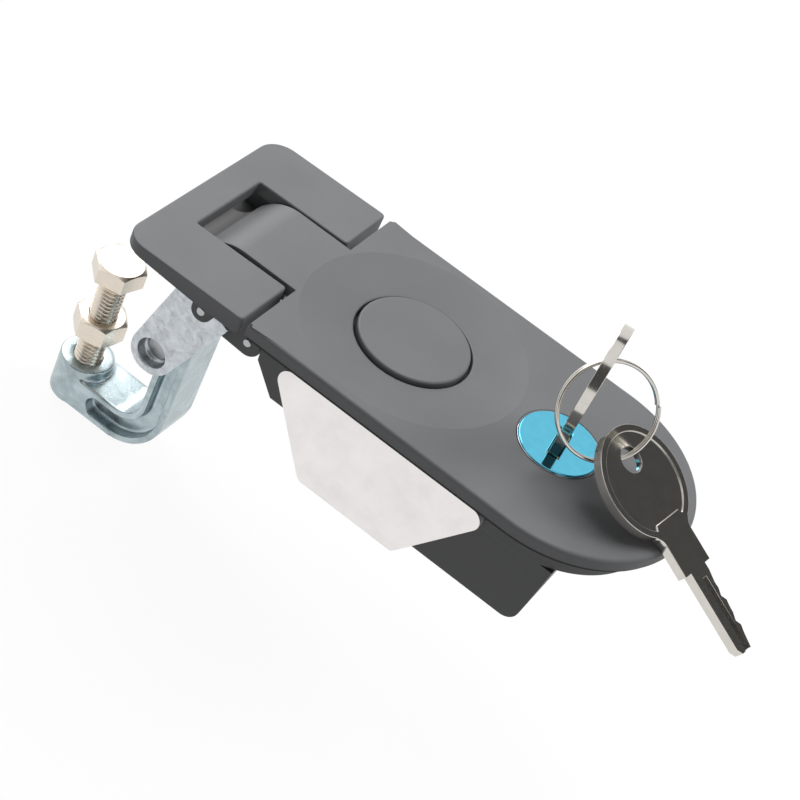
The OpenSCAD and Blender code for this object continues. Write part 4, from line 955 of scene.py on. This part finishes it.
class LOCK_OT_keys(bpy.types.Operator):
    """Finishes both keys and winds the split ring"""
    bl_idname = "lock.keys"
    bl_label = "Keys and ring"

    def execute(self, context):
        # The bow's rim is rounded broadly and the blade's cuts only finely
        bow_reach = 15
        for node, bow in (("inserted_key", Vector((LOCK_X, 0, 21.6))),
                          ("spare_key", Vector((50.5, -2.3, 7.9)))):
            key = node_mesh(node)
            bevel_sharp(key, 0.12, 3, angle=40, keep=lambda p: (p - bow).length < bow_reach)
            bevel_sharp(key, 0.04, 1, angle=60, keep=lambda p: (p - bow).length > bow_reach)
            place_piece(node + "_polished", key, node, crease=35)

        # Two turns of wire about the CAD ring's middle, in its plane
        ring, wire = bmesh.new(), 0.7
        points = [v.co / MM for v in frame["nodes"]["key_ring"].data.vertices]
        middle = sum(points, Vector()) / len(points)
        lean, yaw = math.radians(61.6), math.radians(-54.7)
        axis = Vector((math.sin(lean) * math.cos(yaw), math.sin(lean) * math.sin(yaw), math.cos(lean)))
        across = Vector((math.cos(lean) * math.cos(yaw), math.cos(lean) * math.sin(yaw), -math.sin(lean)))
        pitch = wire * 1.06
        turns = 2
        coil(ring, middle - axis * pitch, axis, radius=9.3, wire=wire, turns=turns, rise=turns * pitch,
             start=math.radians(110), sides=16, per_turn=120, run=across)
        place_piece("split_ring", ring, "key_ring")
        return {"FINISHED"}


class LOCK_OT_stage(bpy.types.Operator):
    """Sets up the camera, the lamps, the floor and the world"""
    bl_idname = "lock.stage"
    bl_label = "Studio"

    def execute(self, context):
        scene = context.scene
        scene.view_settings.view_transform = "Standard"
        self.camera(scene)
        self.world(scene)
        self.floor()
        self.lamps(scene)
        return {"FINISHED"}

    def camera(self, scene):
        """The photograph's view, fitted to the plate's corners and circles."""
        data = bpy.data.cameras.new("Camera")
        data.sensor_width = 36.0
        data.lens = 92.24
        data.clip_start = 0.01
        camera = bpy.data.objects.new("Camera", data)
        scene.collection.objects.link(camera)
        place, turn = Vector((0.076765, -0.287217, 0.239792)), Vector((2.1257, 0.8126, 0.1192))
        seen = Matrix.Rotation(turn.length, 3, turn.normalized())
        flip = Matrix.Diagonal((1, -1, -1))
        camera.matrix_world = Matrix.Translation(place) @ (seen.transposed() @ flip).to_4x4()
        scene.camera = camera

    def world(self, scene):
        """White to the eye and in reflections, and a soft fill on the object."""
        scene.world = bpy.data.worlds.new("Studio")
        tree = bare_tree(scene.world)
        path = add_node(tree, "ShaderNodeLightPath").outputs
        fill = add_node(tree, "ShaderNodeBackground", {"Color": (1, 1, 1, 1), "Strength": 0.12})
        white = add_node(tree, "ShaderNodeBackground", {"Color": (1, 1, 1, 1), "Strength": 1.0})
        seen = add_node(tree, "ShaderNodeMath", {0: path["Is Camera Ray"], 1: path["Is Transmission Ray"]},
                        operation="MAXIMUM")
        soft = add_node(tree, "ShaderNodeMixShader", {0: path["Is Glossy Ray"], 1: fill, 2: white})
        both = add_node(tree, "ShaderNodeMixShader", {0: seen, 1: soft, 2: white})
        add_node(tree, "ShaderNodeOutputWorld", {"Surface": both})

    def sheet(self, name, width, height, place, material):
        """A flat sheet of the studio."""
        blank = bmesh.new()
        bmesh.ops.create_grid(blank, x_segments=1, y_segments=1, size=0.5)
        bmesh.ops.scale(blank, vec=(width, height, 1), verts=blank.verts)
        bmesh.ops.transform(blank, verts=blank.verts, matrix=place)
        mesh = bpy.data.meshes.new(name)
        blank.to_mesh(mesh)
        blank.free()
        mesh.materials.append(material)
        sheet = bpy.data.objects.new(name, mesh)
        bpy.context.scene.collection.objects.link(sheet)
        return sheet

    def floor(self):
        """A pale floor under the pawl. It is nearly white to the eye, keeps a faint shadow, and
        lets a camera below see through it."""
        material = bpy.data.materials.new("pale_floor")
        tree = bare_tree(material)
        path = add_node(tree, "ShaderNodeLightPath").outputs
        eye_tone, lit_tone, eye_glow = 0.9, 0.24, 0.93
        tone = add_node(tree, "ShaderNodeMath", operation="MULTIPLY_ADD",
                        inputs={0: path["Is Camera Ray"], 1: eye_tone - lit_tone, 2: lit_tone})
        chalk = add_node(tree, "ShaderNodeBsdfDiffuse", {"Color": tone})
        glow = add_node(tree, "ShaderNodeEmission", {"Color": (1, 1, 1, 1), "Strength": 1.0})
        seen = add_node(tree, "ShaderNodeMath", {0: path["Is Camera Ray"], 1: eye_glow}, operation="MULTIPLY")
        clear = add_node(tree, "ShaderNodeMath", {0: path["Is Glossy Ray"], 1: path["Is Transmission Ray"]},
                         operation="MAXIMUM")
        most = add_node(tree, "ShaderNodeMath", {0: seen, 1: clear}, operation="MAXIMUM")
        lit = add_node(tree, "ShaderNodeMixShader", {0: most, 1: chalk, 2: glow})
        under = add_node(tree, "ShaderNodeNewGeometry").outputs["Backfacing"]
        gone = add_node(tree, "ShaderNodeBsdfTransparent")
        shown = add_node(tree, "ShaderNodeMixShader", {0: under, 1: lit, 2: gone})
        add_node(tree, "ShaderNodeOutputMaterial", {"Surface": shown})
        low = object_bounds()[0][2] - 0.0005
        side = 6.0
        floor = self.sheet("Floor", side, side, Matrix.Translation((0, 0, low)), material)
        floor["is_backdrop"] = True

    def card(self, name, towards, width, height):
        """A dark card that only reflections see."""
        distance, glow = 0.95, 0.085
        material = bpy.data.materials.new("dark_card")
        tree = bare_tree(material)
        matt = add_node(tree, "ShaderNodeEmission", {"Color": (1, 1, 1, 1), "Strength": glow})
        add_node(tree, "ShaderNodeOutputMaterial", {"Surface": matt})
        middle = Vector(towards).normalized() * distance
        turn = middle.to_track_quat("Z", "Y").to_matrix().to_4x4()
        card = self.sheet(name, width, height, Matrix.Translation(middle) @ turn, material)
        card.visible_camera = card.visible_diffuse = card.visible_shadow = False
        card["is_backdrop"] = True

    def lamps(self, scene):
        """Soft lamps above and behind on both sides, and a weak fill in front. The dark cards
        darken the spare key's face and draw the rounded edges of the bright metal."""
        self.card("Right card", (0.42, 0.55, 0.62), 1.0, 1.0)
        self.card("Camera side card", (0.08, -0.85, 0.52), 1.2, 0.95)
        for name, place, size, watts, mirrored in (
                ("Top softbox", (-0.06, 0.20, 0.88), 0.6, 3.9, False),
                ("Back left softbox", (-0.68, 0.46, 0.57), 0.7, 5.5, True),
                ("Back right softbox", (0.42, 0.46, 0.50), 0.4, 4.6, False),
                ("Front fill", (0.05, -0.85, 0.30), 0.5, 1.2, False)):
            data = bpy.data.lights.new(name, "AREA")
            data.shape = "SQUARE"
            data.size = size
            data.energy = watts
            lamp = bpy.data.objects.new(name, data)
            scene.collection.objects.link(lamp)
            lamp.matrix_world = Matrix.Translation(place) @ (
                -Vector(place)).to_track_quat("-Z", "Y").to_matrix().to_4x4()
            lamp.visible_glossy = mirrored


class LOCK_PT_panel(bpy.types.Panel):
    """Lists the lock's pieces in the 3D view's sidebar"""
    bl_idname = "LOCK_PT_panel"
    bl_label = "Pushbutton Door Lock"
    bl_space_type = "VIEW_3D"
    bl_region_type = "UI"
    bl_category = "Lock"

    def draw(self, context):
        for group in (context.scene.lock_sizes, context.scene.lock_colours):
            for name in group.__annotations__:
                self.layout.prop(group, name)
        for operator in OPERATORS:
            self.layout.operator(operator.bl_idname)


OPERATORS = (LOCK_OT_stage, LOCK_OT_faceplate, LOCK_OT_handle, LOCK_OT_button, LOCK_OT_housing,
             LOCK_OT_bracket, LOCK_OT_pawl, LOCK_OT_bolt, LOCK_OT_cylinder, LOCK_OT_keys)
CLASSES = (LockSizes, LockColours) + OPERATORS + (LOCK_PT_panel,)


def register():
    for cls in CLASSES:
        bpy.utils.register_class(cls)
    bpy.types.Scene.lock_sizes = bpy.props.PointerProperty(type=LockSizes)
    bpy.types.Scene.lock_colours = bpy.props.PointerProperty(type=LockColours)


def unregister():
    del bpy.types.Scene.lock_colours
    del bpy.types.Scene.lock_sizes
    for cls in reversed(CLASSES):
        bpy.utils.unregister_class(cls)


def main():
    """Builds the studio and every piece."""
    register()
    for operator in OPERATORS:
        group, name = operator.bl_idname.split(".")
        getattr(getattr(bpy.ops, group), name)()


if __name__ == "__main__":
    main()
